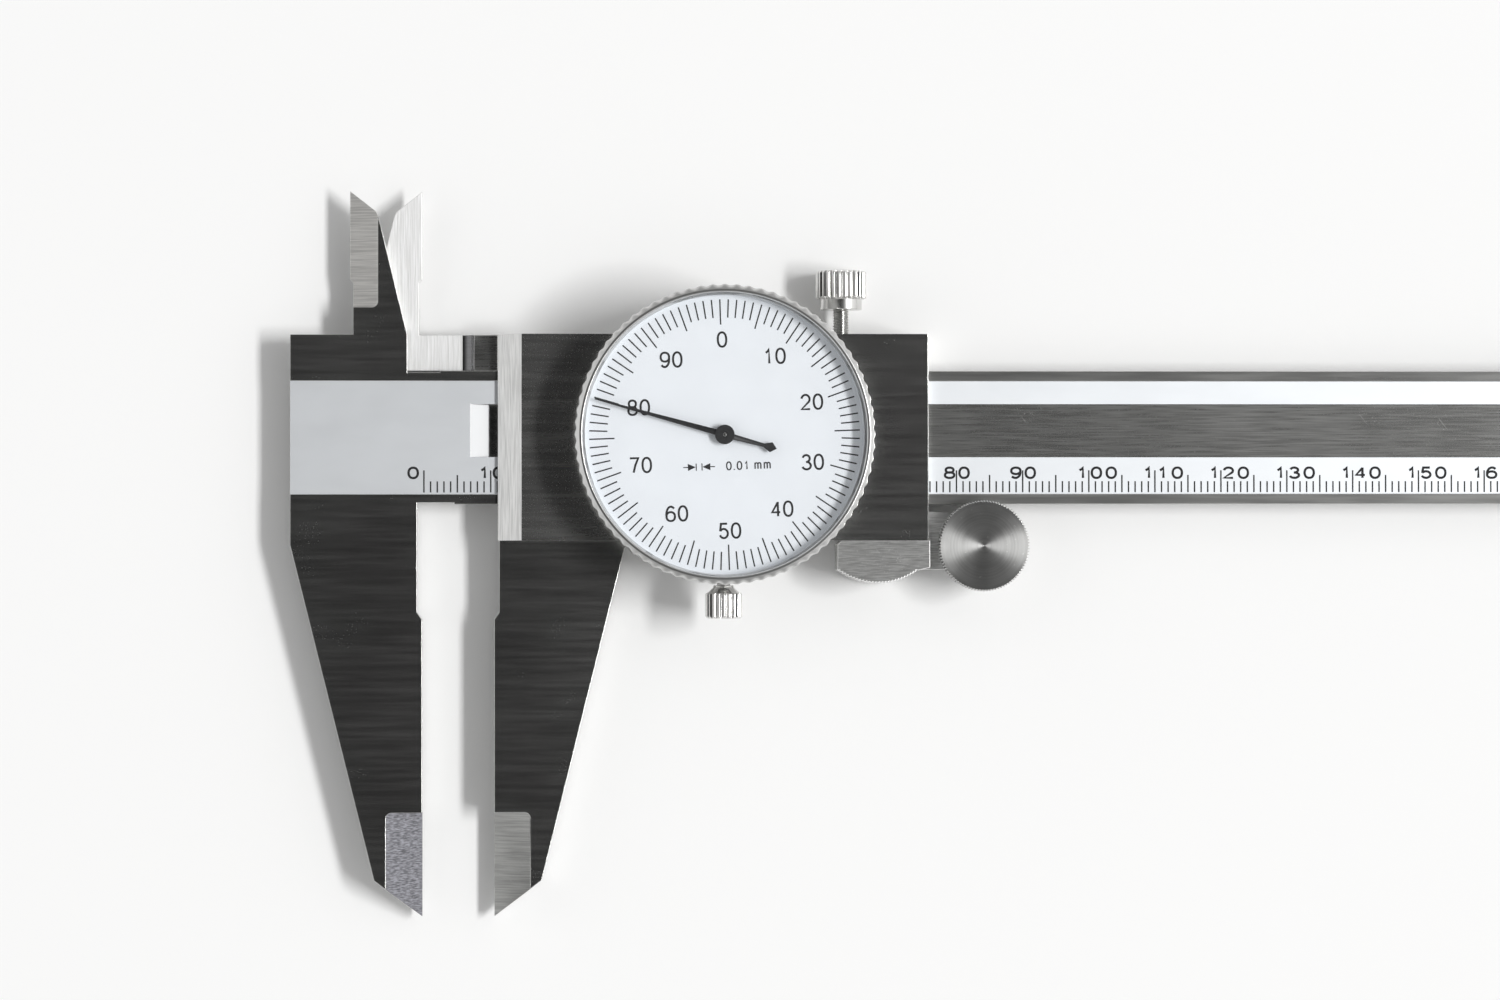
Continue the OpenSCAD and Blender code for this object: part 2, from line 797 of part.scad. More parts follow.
module roller_arm() {
  color([0.5, 0.5, 0.5])
    difference() {
      translate([0, 0, arm_z0])
        linear_extrude(arm_z1 - arm_z0) {
          translate([move_x + arm_u0, arm_low])
            square([arm_u1 - arm_u0 + weld, rest_y - seat_gap - arm_low]);
          translate([move_x + arm_u1, arm_low])
            square([roller_u - arm_u1, arm_top - arm_low]);
          translate([roller_x, roller_y])
            circle(r = (arm_top - arm_low) / 2);
        }
      translate([roller_x, roller_y, arm_z0 - past])
        cylinder(r = axle_r + seat_gap, h = arm_z1 - arm_z0 + 2 * past);
      at_points([arm_screw_point()])
        rotate([180, 0, 0])
          flat_hole(screw_d, 2 * screw_d, arm_z1 - arm_z0 + 2.4);
    }
}

module roller_arm_screw() {
  color([0.6, 0.6, 0.6])
    at_points([arm_screw_point()])
      rotate([180, 0, 0])
        flat_screw(screw_d, 2 * screw_d, arm_z1 - arm_z0 + 2.4);
}

module roller_axle() {
  color([0.6, 0.6, 0.6])
    translate([roller_x, roller_y, arm_z0])
      cylinder(r = axle_r, h = disc_top - 0.8 - arm_z0);
}

module thumb_roller() {
  color([0.7, 0.7, 0.7])
    translate([roller_x, roller_y, 0])
      difference() {
        union() {
          translate([0, 0, drum_z])
            cylinder(r = drum_r, h = disc_z - drum_z + weld);
          translate([0, 0, disc_z])
            linear_extrude(disc_top - disc_z - 0.3)
              polygon(knurl_points(roller_r, 80, 0.15));
          translate([0, 0, disc_z + weld])
            cylinder(r = roller_r - 0.25, h = disc_top - 0.15 - disc_z - weld);
          translate([0, 0, disc_top - 0.15])
            cylinder(r1 = roller_r - 0.25, r2 = roller_r - 0.4, h = 0.15);
        }
        translate([0, 0, drum_z - past])
          cylinder(r = axle_r + slide_gap, h = disc_top - 0.7 - drum_z + past);
      }
}

function case_screw_points() =
  let (r = case_r - case_screw_in)
  [for (a = [45:90:315]) [dial_x + r * cos(a), dial_y + r * sin(a), case_z]];

module dial_case() {
  color([0.62, 0.62, 0.63])
    difference() {
      union() {
        translate([dial_x, dial_y, front_z])
          cylinder(r = case_r, h = case_top - front_z);
        translate([dial_x - lug_w / 2, dial_y - case_r + 1, lug_z])
          cube([lug_w, case_r - 1 - dial_y - rail_y - seat_gap, rim_z - 0.12 - lug_z]);
        translate([dial_x - lug_w / 2, lug_y, lug_z])
          cube([lug_w, dial_y - case_r + 1 + weld - lug_y, rim_z - 0.12 - lug_z]);
        translate([dial_x - lug_w / 2, lug_y, lug_z])
          cube([lug_w, shoe_y - lug_y, skirt_z - 0.12 - lug_z]);
      }
      translate([dial_x, dial_y, case_z])
        cylinder(r = case_r - case_wall, h = bezel_h);
      translate([dial_x, dial_y, ring_z - slide_gap])
        difference() {
          cylinder(r = bezel_r, h = ring_t + 2 * slide_gap);
          translate([0, 0, -past])
            cylinder(r = case_r - ring_in - slide_gap, h = ring_t + 2 * past);
        }
      translate([dial_x - shoe_w / 2, shoe_y - shoe_t, clamp_z - shoe_h / 2] - slide_gap * [1, 1, 1])
        cube([shoe_w + 2 * slide_gap, shoe_t + slide_gap + 1, shoe_h + 1]);
      along_y([dial_x, lug_y - past, clamp_z])
        cylinder(d = clamp_d + 2 * slide_gap, h = 2);
      at_points(case_screw_points())
        flat_hole(screw_d, 2 * screw_d, case_floor + 2);
      translate([gear_x, pinion_y, front_z - past])
        cylinder(r = bush_r + seat_gap, h = case_floor + 2 * past);
      translate([dial_x, dial_y, front_z - past])
        cylinder(r = centre_bush_r + seat_gap, h = case_floor + 2 * past);
    }
}

module dial_case_screws() {
  color([0.6, 0.6, 0.6])
    at_points(case_screw_points())
      flat_screw(screw_d, 2 * screw_d, case_floor + 2);
}

module bezel_spring_ring() {
  color([0.6, 0.6, 0.62])
    translate([dial_x, dial_y, ring_z])
      rotate([0, 0, 95])
        rotate_extrude(angle = 350)
          translate([case_r - ring_in, 0])
            square([2 * ring_in, ring_t]);
}

module pinion_bush() {
  color([0.75, 0.6, 0.32])
    translate([gear_x, pinion_y, wall_z])
      difference() {
        cylinder(r = bush_r, h = case_z - wall_z);
        translate([0, 0, -past])
          cylinder(r = arbor_r + slide_gap, h = case_z - wall_z + 2 * past);
      }
}

module centre_bush() {
  color([0.75, 0.6, 0.32])
    translate([dial_x, dial_y, front_z])
      difference() {
        cylinder(r = centre_bush_r, h = case_floor);
        translate([0, 0, 0.15])
          cylinder(r = pivot_r + slide_gap, h = case_floor);
      }
}

module movement_bridge() {
  reach = pillar_off + pillar_r;
  color([0.75, 0.6, 0.32])
    difference() {
      translate([0, 0, bridge_z])
        linear_extrude(bridge_t) {
          translate([gear_x - bridge_w / 2, pinion_y - reach])
            square([bridge_w, 2 * reach]);
          translate([gear_x, (pinion_y + dial_y - bridge_w) / 2])
            square([dial_x + pillar_past + pillar_r - gear_x, bridge_w]);
        }
      translate([gear_x, pinion_y, bridge_z - past])
        cylinder(r = pivot_r + slide_gap, h = bridge_t + 2 * past);
      translate([dial_x, dial_y, bridge_z - past])
        cylinder(r = thin_r + slide_gap, h = bridge_t + 2 * past);
      at_points(bridge_screw_points())
        flat_hole(pillar_screw_d, pillar_screw_head, bridge_t + 1.4);
    }
}

// Two pillars beside the main gear and one past the pointer's arbor
function bridge_screw_points() =
  let (top = bridge_z + bridge_t)
  [[gear_x, pinion_y + pillar_off, top], [gear_x, pinion_y - pillar_off, top],
    [dial_x + pillar_past, dial_y, top]];

module bridge_pillars() {
  color([0.75, 0.6, 0.32])
    difference() {
      for (p = bridge_screw_points())
        translate([p[0], p[1], case_z])
          cylinder(r = pillar_r, h = bridge_z - case_z);
      at_points(bridge_screw_points())
        flat_hole(pillar_screw_d, pillar_screw_head, bridge_t + 1.4);
    }
}

module bridge_screws() {
  color([0.6, 0.6, 0.6])
    at_points(bridge_screw_points())
      flat_screw(pillar_screw_d, pillar_screw_head, bridge_t + 1.4);
}

module pinion_arbor() {
  low = groove_z + 0.1;
  color([0.66, 0.66, 0.67])
    translate([gear_x, pinion_y, 0]) {
      translate([0, 0, low])
        linear_extrude(rack_t - 0.15)
          polygon(gear_points(pinion_teeth, rack_module, 90 + 180 / pinion_teeth));
      translate([0, 0, low])
        cylinder(r = arbor_r, h = gear_z + hub_h - low);
      translate([0, 0, gear_z + hub_h - weld])
        cylinder(r = pivot_r, h = bridge_z + bridge_t - gear_z - hub_h);
    }
}

module main_gear() {
  color([0.78, 0.63, 0.34])
    translate([gear_x, pinion_y, gear_z])
      difference() {
        union() {
          linear_extrude(gear_t)
            polygon(gear_points(gear_teeth, gear_module, mesh_angle));
          cylinder(r = 1.6, h = hub_h);
          rotate([0, 0, 180])
            translate([spring_r, 0, 0])
              cylinder(d = spring_w, h = take_up_z - gear_z - slide_gap);
        }
        translate([0, 0, -past])
          cylinder(r = arbor_r + seat_gap, h = hub_h + 2 * past);
      }
}

module take_up_gear() {
  drop = take_up_z - gear_z - gear_t - slide_gap;
  color([0.78, 0.63, 0.34])
    translate([gear_x, pinion_y, take_up_z])
      difference() {
        union() {
          linear_extrude(gear_t)
            polygon(gear_points(gear_teeth, gear_module, mesh_angle));
          rotate([0, 0, 144])
            translate([spring_r, 0, -drop])
              cylinder(d = spring_w, h = drop + weld);
        }
        translate([0, 0, -past])
          cylinder(r = 1.6 + slide_gap, h = gear_t + 2 * past);
      }
}

module take_up_spring() {
  color([0.3, 0.36, 0.5])
    translate([gear_x, pinion_y, gear_z + gear_t + slide_gap])
      rotate([0, 0, 184])
        rotate_extrude(angle = 316)
          translate([spring_r - spring_w / 2, 0])
            square([spring_w, 0.25]);
}

module pointer_arbor() {
  low = front_z + 0.2;
  shoulder = case_z + slide_gap;
  color([0.66, 0.66, 0.67])
    translate([dial_x, dial_y, 0]) {
      translate([0, 0, low])
        cylinder(r = pivot_r, h = shoulder - low + weld);
      translate([0, 0, shoulder])
        cylinder(r = thin_r, h = pointer_z + hub_t - shoulder);
      translate([0, 0, gear_z - 0.1])
        linear_extrude(take_up_z + gear_t - gear_z + 0.2)
          polygon(gear_points(arbor_teeth, gear_module, mesh_angle + 180 + 180 / arbor_teeth));
    }
}

module pointer() {
  wide = 0.45;
  point = 0.1;
  color([0.06, 0.06, 0.06])
    translate([dial_x, dial_y, pointer_z])
      difference() {
        union() {
          cylinder(r = hub_r, h = hub_t);
          rotate([0, 0, needle_angle])
            translate([0, 0, (hub_t - pointer_t) / 2])
              linear_extrude(pointer_t)
                polygon([
                  [0, wide], [needle_l, point], [needle_l, -point], [0, -wide],
                  [-tail_l + 2, -wide * 0.6], [-tail_l + 0.85, -wide * 1.7], [-tail_l, 0],
                  [-tail_l + 0.85, wide * 1.7], [-tail_l + 2, wide * 0.6]
                ]);
        }
        translate([0, 0, -past])
          cylinder(r = thin_r + seat_gap, h = hub_t + 2 * past);
      }
}

module bezel_ring() {
  body_r = bezel_r - scallop_depth - 0.06;
  color([0.72, 0.72, 0.73])
    translate([dial_x, dial_y, 0])
      difference() {
        union() {
          rotate_extrude()
            polygon([
              [bezel_bore, rim_z], [rim_r, rim_z], [rim_r, skirt_z], [body_r, skirt_z],
              [body_r, bezel_top - 1.7], [peak_r, bezel_top], [window_r, bezel_top - lip_t],
              [window_r, glass_top], [glass_r + slide_gap, glass_top], [glass_r + slide_gap, dial_z],
              [bezel_bore, dial_z]
            ]);
          difference() {
            translate([0, 0, skirt_z + 0.3])
              linear_extrude(bezel_top - 1.8 - skirt_z - 0.3)
                polygon(scallop_points(bezel_r, scallops, scallop_depth));
            translate([0, 0, skirt_z])
              cylinder(r = body_r - weld, h = bezel_h);
          }
        }
        translate([0, 0, ring_z - slide_gap])
          cylinder(r = bezel_bore + ring_in, h = ring_t + 2 * slide_gap);
      }
}

module dial_plate() {
  color([0.91, 0.93, 0.95])
    translate([dial_x, dial_y, dial_z])
      difference() {
        cylinder(r = glass_r, h = dial_t);
        translate([0, 0, -past])
          cylinder(r = 1, h = dial_t + 2 * past);
      }
}

module dial_spacer() {
  z = dial_z + dial_t;
  color([0.75, 0.76, 0.77])
    translate([dial_x, dial_y, z])
      difference() {
        cylinder(r = glass_r, h = glass_z - z);
        translate([0, 0, -past])
          cylinder(r = window_r, h = glass_z - z + 2 * past);
      }
}

module crystal() {
  color([0.95, 0.97, 1, 0.3])
    translate([dial_x, dial_y, glass_z])
      cylinder(r = glass_r, h = glass_t);
}

module lock_pad() {
  color([0.75, 0.6, 0.32])
    along_y([lock_x, pad_y, lock_z])
      cylinder(d = pad_d, h = pad_l);
}

module lock_screw() {
  foot = pad_y + pad_l;
  color([0.75, 0.76, 0.76])
    along_y([lock_x, 0, lock_z]) {
      translate([0, 0, foot])
        cylinder(d = lock_d, h = lock_head_y - foot);
      translate([0, 0, lock_collar_y])
        cylinder(d = lock_collar_d, h = lock_head_y - lock_collar_y + weld);
      translate([0, 0, lock_head_y])
        linear_extrude(lock_head_l)
          polygon(knurl_points(lock_head_d / 2, 40, 0.25));
    }
}

module clamp_shoe() {
  color([0.75, 0.6, 0.32])
    translate([dial_x - shoe_w / 2, shoe_y - shoe_t, clamp_z - shoe_h / 2])
      cube([shoe_w, shoe_t, shoe_h]);
}

module clamp_screw() {
  foot = -(shoe_y - shoe_t);
  color([0.75, 0.76, 0.76])
    translate([dial_x, 0, clamp_z])
      rotate([90, 0, 0]) {
        translate([0, 0, foot])
          cylinder(d = clamp_d, h = -neck_y - foot + weld);
        translate([0, 0, -neck_y])
          cylinder(d = clamp_neck_d, h = clamp_neck_l);
        translate([0, 0, -neck_y + clamp_neck_l])
          cylinder(d1 = clamp_neck_d, d2 = clamp_head_d - 0.8, h = clamp_cone_l);
        translate([0, 0, -neck_y + clamp_neck_l + clamp_cone_l])
          linear_extrude(clamp_head_l)
            polygon(knurl_points(clamp_head_d / 2, 18, 0.3));
      }
}

main_beam();
rack();
rack_pins();
end_stop();
end_stop_screws();
slider();
back_plate();
back_plate_screws();
gib();
gib_screws();
depth_blade();
depth_blade_screws();
thumb_rest();
thumb_rest_screws();
roller_arm();
roller_arm_screw();
roller_axle();
dial_case();
dial_case_screws();
bezel_spring_ring();
pinion_bush();
centre_bush();
movement_bridge();
bridge_pillars();
bridge_screws();
thumb_roller();
pinion_arbor();
main_gear();
take_up_gear();
take_up_spring();
pointer_arbor();
pointer();
bezel_ring();
dial_plate();
dial_spacer();
crystal();
lock_pad();
lock_screw();
clamp_shoe();
clamp_screw();
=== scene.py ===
"""Looks of a dial caliper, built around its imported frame.

Every piece is in metres and stands in the frame's own axes: X runs along the beam from the
head's end, Y from the beam's centre line to the inside jaws, and Z from the beam's back face to
its front. Sizes in the dataclasses are millimetres.
"""

from __future__ import annotations

import json
import logging
import math
from collections.abc import Callable, Iterable, Mapping, Sequence
from dataclasses import dataclass, fields
from enum import Enum

import bmesh
import bpy
from mathutils import Euler, Matrix, Vector

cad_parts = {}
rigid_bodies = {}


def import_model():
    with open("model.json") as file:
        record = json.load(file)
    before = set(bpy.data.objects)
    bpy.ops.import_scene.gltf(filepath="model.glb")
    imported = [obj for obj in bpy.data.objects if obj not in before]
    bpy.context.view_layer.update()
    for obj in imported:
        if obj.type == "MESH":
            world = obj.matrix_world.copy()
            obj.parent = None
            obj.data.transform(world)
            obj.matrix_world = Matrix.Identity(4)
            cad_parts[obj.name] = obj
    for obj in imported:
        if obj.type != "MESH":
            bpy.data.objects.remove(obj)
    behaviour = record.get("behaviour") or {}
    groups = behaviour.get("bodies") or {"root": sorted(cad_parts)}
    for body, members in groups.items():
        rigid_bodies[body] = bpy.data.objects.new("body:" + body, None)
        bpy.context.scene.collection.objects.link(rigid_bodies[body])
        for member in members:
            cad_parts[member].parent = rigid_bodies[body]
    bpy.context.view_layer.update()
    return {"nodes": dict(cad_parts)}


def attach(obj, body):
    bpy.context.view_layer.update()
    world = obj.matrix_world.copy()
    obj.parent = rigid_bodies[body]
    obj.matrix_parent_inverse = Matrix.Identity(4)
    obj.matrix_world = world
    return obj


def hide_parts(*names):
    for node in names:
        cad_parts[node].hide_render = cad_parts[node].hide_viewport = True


LOG = logging.getLogger("dial_caliper")
MM = 0.001
QUARTER = math.pi / 2
FAR, NEAR = 1e3, 0.02  # Beyond every piece, and the slack about a level, in mm.
MIDDLE = (0.3, 0.7)  # Where a noise has most of its values.
Length = float
Point = tuple[float, float]
Triple = tuple[float, float, float]
Colour = Triple
Path = list[Point]
Profile = Sequence[Point]


def overload(operation: str, swapped: bool = False) -> Callable[..., Value]:
    """Makes a method of Value that adds a Math node.

    Args:
        operation: The node's operation.
        swapped: Whether the value comes after the other term.

    Returns:
        The method.
    """

    def method(value: Value, *terms: Operand) -> Value:
        """Adds the Math node."""
        return value.graph.math(operation, *((*terms, value) if swapped else (value, *terms)))

    return method


class Value:
    """A node's output that takes part in Python arithmetic."""

    __add__, __radd__ = overload("ADD"), overload("ADD", swapped=True)
    __sub__, __rsub__ = overload("SUBTRACT"), overload("SUBTRACT", swapped=True)
    __mul__, __rmul__ = overload("MULTIPLY"), overload("MULTIPLY", swapped=True)
    __truediv__ = overload("DIVIDE")
    __pow__ = overload("POWER")
    __mod__ = overload("FLOORED_MODULO")
    below, above = overload("LESS_THAN"), overload("GREATER_THAN")
    root, sine, cosine = overload("SQRT"), overload("SINE"), overload("COSINE")

    def __init__(self, graph: Graph, socket: bpy.types.NodeSocket) -> None:
        """Keeps the output and the graph that it belongs to."""
        self.graph = graph
        self.socket = socket

    def other(self, name: str) -> Value:
        """Returns another output of the same node."""
        return Value(self.graph, self.socket.node.outputs[name])

    def swing(self, amount: float) -> Value:
        """Swings about zero by an amount, where the value swings about a half."""
        return (self - 0.5) * amount

    def step(self, start: Operand, end: Operand) -> Value:
        """Climbs smoothly from 0 at start to 1 at end."""
        return self.graph.node(
            "ShaderNodeMapRange",
            {"Value": self, "From Min": start, "From Max": end},
            interpolation_type="SMOOTHSTEP",
        )


Operand = Value | float


class Graph:
    """A node tree that is written as expressions."""

    def __init__(self, tree: bpy.types.NodeTree) -> None:
        """Keeps the tree that the nodes go into."""
        self.tree = tree

    def node(
        self,
        kind: str,
        inputs: Mapping[str | int, object] | None = None,
        out: str | int = 0,
        **settings: object,
    ) -> Value:
        """Adds a node.

        Args:
            kind: Blender's name for the node's type.
            inputs: Values or links for its sockets, by name or number.
            out: The output to return.
            **settings: The node's own settings, which are set first.

        Returns:
            The chosen output, or the node's first input where it has no output.
        """
        made = self.tree.nodes.new(kind)
        for name, value in settings.items():
            setattr(made, name, value)
        for key, value in (inputs or {}).items():
            if isinstance(value, Value):
                self.tree.links.new(value.socket, made.inputs[key])
            else:
                made.inputs[key].default_value = value
        return Value(self, made.outputs[out] if made.outputs else made.inputs[0])

    def math(self, operation: str, *terms: Operand) -> Value:
        """Adds a Math node with these terms."""
        return self.node("ShaderNodeMath", dict(enumerate(terms)), operation=operation)

    def vector(self, x: Operand, y: Operand, z: Operand) -> Value:
        """Joins three values into a vector."""
        return self.node("ShaderNodeCombineXYZ", {"X": x, "Y": y, "Z": z})

    def split(self, vector: Value) -> tuple[Value, Value, Value]:
        """Takes a vector apart into its three values."""
        x = self.node("ShaderNodeSeparateXYZ", {"Vector": vector}, out="X")
        return x, x.other("Y"), x.other("Z")

    def mix(self, share: Operand, first: object, second: object) -> Value:
        """Mixes two colours."""
        return self.node("ShaderNodeMix", {0: share, 6: first, 7: second}, 2, data_type="RGBA")

    def place(self) -> Value:
        """Returns the object's own coordinates, in metres."""
        return self.node("ShaderNodeTexCoord", out="Object")

    def noise(self, vector: Value, cycles: Triple | float, detail: float = 2.0) -> Value:
        """Adds a noise texture with cycles per metre for each axis, or one number for all."""
        rates = cycles if isinstance(cycles, tuple) else (cycles,) * 3
        scaled = self.node("ShaderNodeVectorMath", {0: vector, 1: rates}, operation="MULTIPLY")
        return self.node("ShaderNodeTexNoise", {"Vector": scaled, "Scale": 1.0, "Detail": detail})


def rgba(colour: Colour, gain: float = 1.0) -> tuple[float, float, float, float]:
    """Returns a colour with its alpha, made lighter or darker by a gain."""
    return tuple(min(1.0, part * gain) for part in colour) + (1.0,)


class Grain(Enum):
    """Direction of the grinding lines, in noise cycles per metre along X, Y and Z."""

    ALONG_X = (170.0, 5200.0, 170.0)
    ALONG_Y = (4800.0, 190.0, 190.0)
    FINE_X = (450.0, 6500.0, 450.0)
    LAPPED_X = (80.0, 1500.0, 80.0)
    MOTTLED = (1400.0, 6200.0, 1400.0)


@dataclass(frozen=True)
class Finish:
    """What all finishes share: a name, a tone and a roughness."""

    name: str
    tone: Colour
    rough: float

    DRIFT = (0.03, 0.1)

    def material(self) -> bpy.types.Material:
        """Returns the finish's material, which is made at its first use."""
        label = f"finish_{self.name}"
        made = bpy.data.materials.get(label)
        if made is None:
            made = bpy.data.materials.new(label)
            made.use_nodes = True
            made.node_tree.nodes.clear()
            graph = Graph(made.node_tree)
            graph.node("ShaderNodeOutputMaterial", {"Surface": self.shade(graph)})
        return made

    def shade(self, graph: Graph) -> Value:
        """Adds the finish's shader to a graph and returns its output."""
        raise NotImplementedError

    def toned(self, graph: Graph, share: Value, low: float, high: float) -> Value:
        """Mixes the tone at a low gain with the tone at a high gain."""
        return graph.mix(share, rgba(self.tone, low), rgba(self.tone, high))

    def principled(self, graph: Graph, **sockets: object) -> Value:
        """Adds the main shader.

        Args:
            graph: The material's graph.
            **sockets: Its sockets by name, with _ for a space.

        Returns:
            The shader's output.
        """
        inputs = {key.replace("_", " "): value for key, value in sockets.items()}
        return graph.node("ShaderNodeBsdfPrincipled", inputs)

    def metal(
        self,
        graph: Graph,
        rough: Value,
        relief: Value,
        depth: float,
        drift: float = 0.0,
        **sockets: object,
    ) -> Value:
        """Adds the main shader as bare metal.

        Args:
            graph: The material's graph.
            rough: Its roughness.
            relief: Height of its surface, from 0 to 1.
            depth: What a relief of 1 measures, in metres.
            drift: How much rougher it is under the dial than at the head.
            **sockets: Other sockets by name, with _ for a space.

        Returns:
            The shader's output.
        """
        bump = graph.node(
            "ShaderNodeBump", {"Strength": 1.0, "Distance": depth, "Height": relief}
        )
        if drift:
            rough = rough + graph.split(graph.place())[0].step(*self.DRIFT) * drift
        return self.principled(graph, Metallic=1.0, Roughness=rough, Normal=bump, **sockets)


@dataclass(frozen=True)
class GroundSteel(Finish):
    """Hardened steel with grinding lines, pits and a few fine scratches."""

    grain: Grain = Grain.ALONG_X
    streak: float = 0.1
    groove: float = 1.5e-6
    wear: float = 0.35
    drift: float = 0.0

    BARE = (0.9, 0.9, 0.88)
    SCRATCH = (260.0, 5200.0, 260.0)
    SCRATCH_TURN = (0.0, 0.0, 0.9)

    def marks(self, graph: Graph, place: Value) -> Value:
        """Returns where the ground surface is pitted or scratched, from 0 to 1."""
        pits = graph.noise(place, 5200.0, 1.0).step(0.64, 0.74)
        turned = graph.node("ShaderNodeMapping", {"Vector": place, "Rotation": self.SCRATCH_TURN})
        lines = graph.noise(turned, self.SCRATCH, 0.0).step(0.74, 0.82)
        rare = graph.noise(place, 190.0, 1.0).step(0.6, 0.74)
        return graph.math("MAXIMUM", pits * (0.3 + rare * 0.7), lines * rare * 0.7)

    def shade(self, graph: Graph) -> Value:
        """Adds ground steel with lines along the grain."""
        place = graph.place()
        lines = graph.noise(place, self.grain.value, 4.0)
        clouds = graph.noise(place, 60.0)
        marks = self.marks(graph, place) * self.wear
        toned = self.toned(graph, lines.step(*MIDDLE), 1 - self.streak, 1 + self.streak)
        colour = graph.mix(marks, toned, rgba(self.BARE))
        rough = self.rough + lines.swing(0.06) + clouds.swing(0.05) + marks * 0.25
        return self.metal(graph, rough, lines, self.groove, self.drift, Base_Color=colour)


@dataclass(frozen=True)
class SatinChrome(Finish):
    """Blasted and chromed metal with an even, fine grain."""

    grit: float = 1.2e-6
    drift: float = 0.0

    def shade(self, graph: Graph) -> Value:
        """Adds satin chrome."""
        place = graph.place()
        grit = graph.noise(place, 6500.0)
        clouds = graph.noise(place, (110.0, 240.0, 110.0), 3.0)
        colour = self.toned(graph, clouds.step(*MIDDLE), 0.985, 1.01)
        rough = self.rough + clouds.swing(0.02)
        return self.metal(graph, rough, grit, self.grit, self.drift, Base_Color=colour)


@dataclass(frozen=True)
class TurnedSteel(Finish):
    """Metal faced on a lathe, with rings about an axis along Z."""

    centre: Point = (0.0, 0.0)
    pull: float = 0.0

    BARE = (0.92, 0.92, 0.9)
    RINGS = (7500.0, 0.0, 2500.0)
    RING_DEPTH = 1e-6

    def shade(self, graph: Graph) -> Value:
        """Adds turned metal."""
        place = graph.place()
        x, y, z = graph.split(place)
        across, along = (part - at * MM for part, at in zip((x, y), self.centre))
        radius = (across**2.0 + along**2.0).root()
        rings = graph.noise(graph.vector(radius, 0.0, z), self.RINGS, 3.0)
        clouds = graph.noise(place, 420.0)
        pits = graph.noise(place, 1700.0, 1.0).step(0.70, 0.78)
        toned = self.toned(graph, rings.step(*MIDDLE), 0.94, 1.06)
        return self.metal(
            graph,
            self.rough + clouds.swing(0.1) + rings.swing(0.05),
            rings,
            self.RING_DEPTH,
            Base_Color=graph.mix(pits * 0.4, toned, rgba(self.BARE)),
            Anisotropic=self.pull,
            Anisotropic_Rotation=0.25,
        )


@dataclass(frozen=True)
class DialEnamel(Finish):
    """Pale baked enamel of the dial plate."""

    def shade(self, graph: Graph) -> Value:
        """Adds enamel with a faint mottle."""
        mottle = graph.noise(graph.place(), 160.0, 3.0)
        colour = self.toned(graph, mottle.step(*MIDDLE), 0.985, 1.01)
        return self.principled(graph, Base_Color=colour, Roughness=self.rough + mottle.swing(0.1))


@dataclass(frozen=True)
class BlackCoat(Finish):
    """Black ink or lacquer with small uneven spots."""

    SPOTS = 1.5

    def shade(self, graph: Graph) -> Value:
        """Adds a black coat."""
        dust = graph.noise(graph.place(), 2600.0)
        colour = self.toned(graph, dust.step(0.4, 0.75), 1.0, self.SPOTS)
        return self.principled(graph, Base_Color=colour, Roughness=self.rough + dust.swing(0.15))


@dataclass(frozen=True)
class ClearCrystal(Finish):
    """Clear acrylic of the dial's window."""

    haze: float = 0.05

    def shade(self, graph: Graph) -> Value:
        """Adds a clear sheet that shows only its gloss and a trace of wiping."""
        wipe = graph.noise(graph.place(), (90.0, 260.0, 90.0), 3.0)
        alpha = self.haze + wipe.swing(0.01)
        return self.principled(
            graph, Base_Color=rgba(self.tone), Roughness=self.rough, Alpha=alpha
        )


@dataclass(frozen=True)
class PaleFloor(Finish):
    """Matt white sheet under the caliper."""

    def shade(self, graph: Graph) -> Value:
        """Adds a white sheet with a faint cloud in it."""
        colour = self.toned(graph, graph.noise(graph.place(), 9.0), 0.995, 1.0)
        return self.principled(
            graph, Base_Color=colour, Roughness=self.rough, Specular_IOR_Level=0.0
        )


STEEL: Colour = (0.60, 0.60, 0.585)


def lapped(name: str, rough: float, drift: float = 0.0) -> GroundSteel:
    """Returns lapped steel with a roughness that drifts along the caliper."""
    return GroundSteel(f"lapped_{name}", STEEL, rough, Grain.LAPPED_X, 0.1, 0.6e-6, 0.3, drift)


LAPPED = lapped("steel", 0.24)
WALL_LAPPED = lapped("wall", 0.265, -0.035)
BEAM_LAPPED = lapped("beam", 0.235, 0.055)
JAW_LAPPED = lapped("jaw", 0.225, 0.08)
# Ground faces: name, tone, roughness, grain, streak, depth of the grooves in metres, wear.
STRIP_GROUND = GroundSteel("ground_strip", STEEL, 0.28, Grain.ALONG_X, 0.14, 0.8e-6, 0.3)
BEVEL_GROUND = GroundSteel(
    "ground_bevel", (0.69, 0.69, 0.68), 0.36, Grain.ALONG_Y, 0.16, 8e-6, 0.2
)
CARRIER_GROUND = GroundSteel(
    "ground_carrier", (0.96, 0.96, 0.95), 0.66, Grain.ALONG_Y, 0.08, 3e-5, 0.1
)
NIB_GROUND = GroundSteel("ground_nib", (0.64, 0.63, 0.61), 0.5, Grain.ALONG_X, 0.16, 6e-6, 0.2)
# The fixed knife's bevel faces the key light, so its steel is painted darker than the moving
# knife's: painted shade.
KNIFE_FIXED_PAINTED_SHADE = GroundSteel("ground_knife_painted_shade", (0.3, 0.3, 0.323), 0.8, Grain.MOTTLED, 0.45, 3e-6, 0.3)
KNIFE_MOVING = GroundSteel("ground_tip", (0.40, 0.40, 0.39), 0.4, Grain.ALONG_X, 0.2, 5e-6, 0.2)
# The roller arm is the thumb rest's steel painted lighter: painted light that lifts the roller's
# shadow off it.
ARM_GROUND_PAINTED_LIGHT = GroundSteel("ground_arm_painted_light", (0.84, 0.84, 0.83), 0.48, Grain.FINE_X, 0.2, 4e-6, 0.9)
REST_GROUND = GroundSteel("ground_rest", (0.53, 0.53, 0.52), 0.4, Grain.FINE_X, 0.2, 4e-6, 0.9)
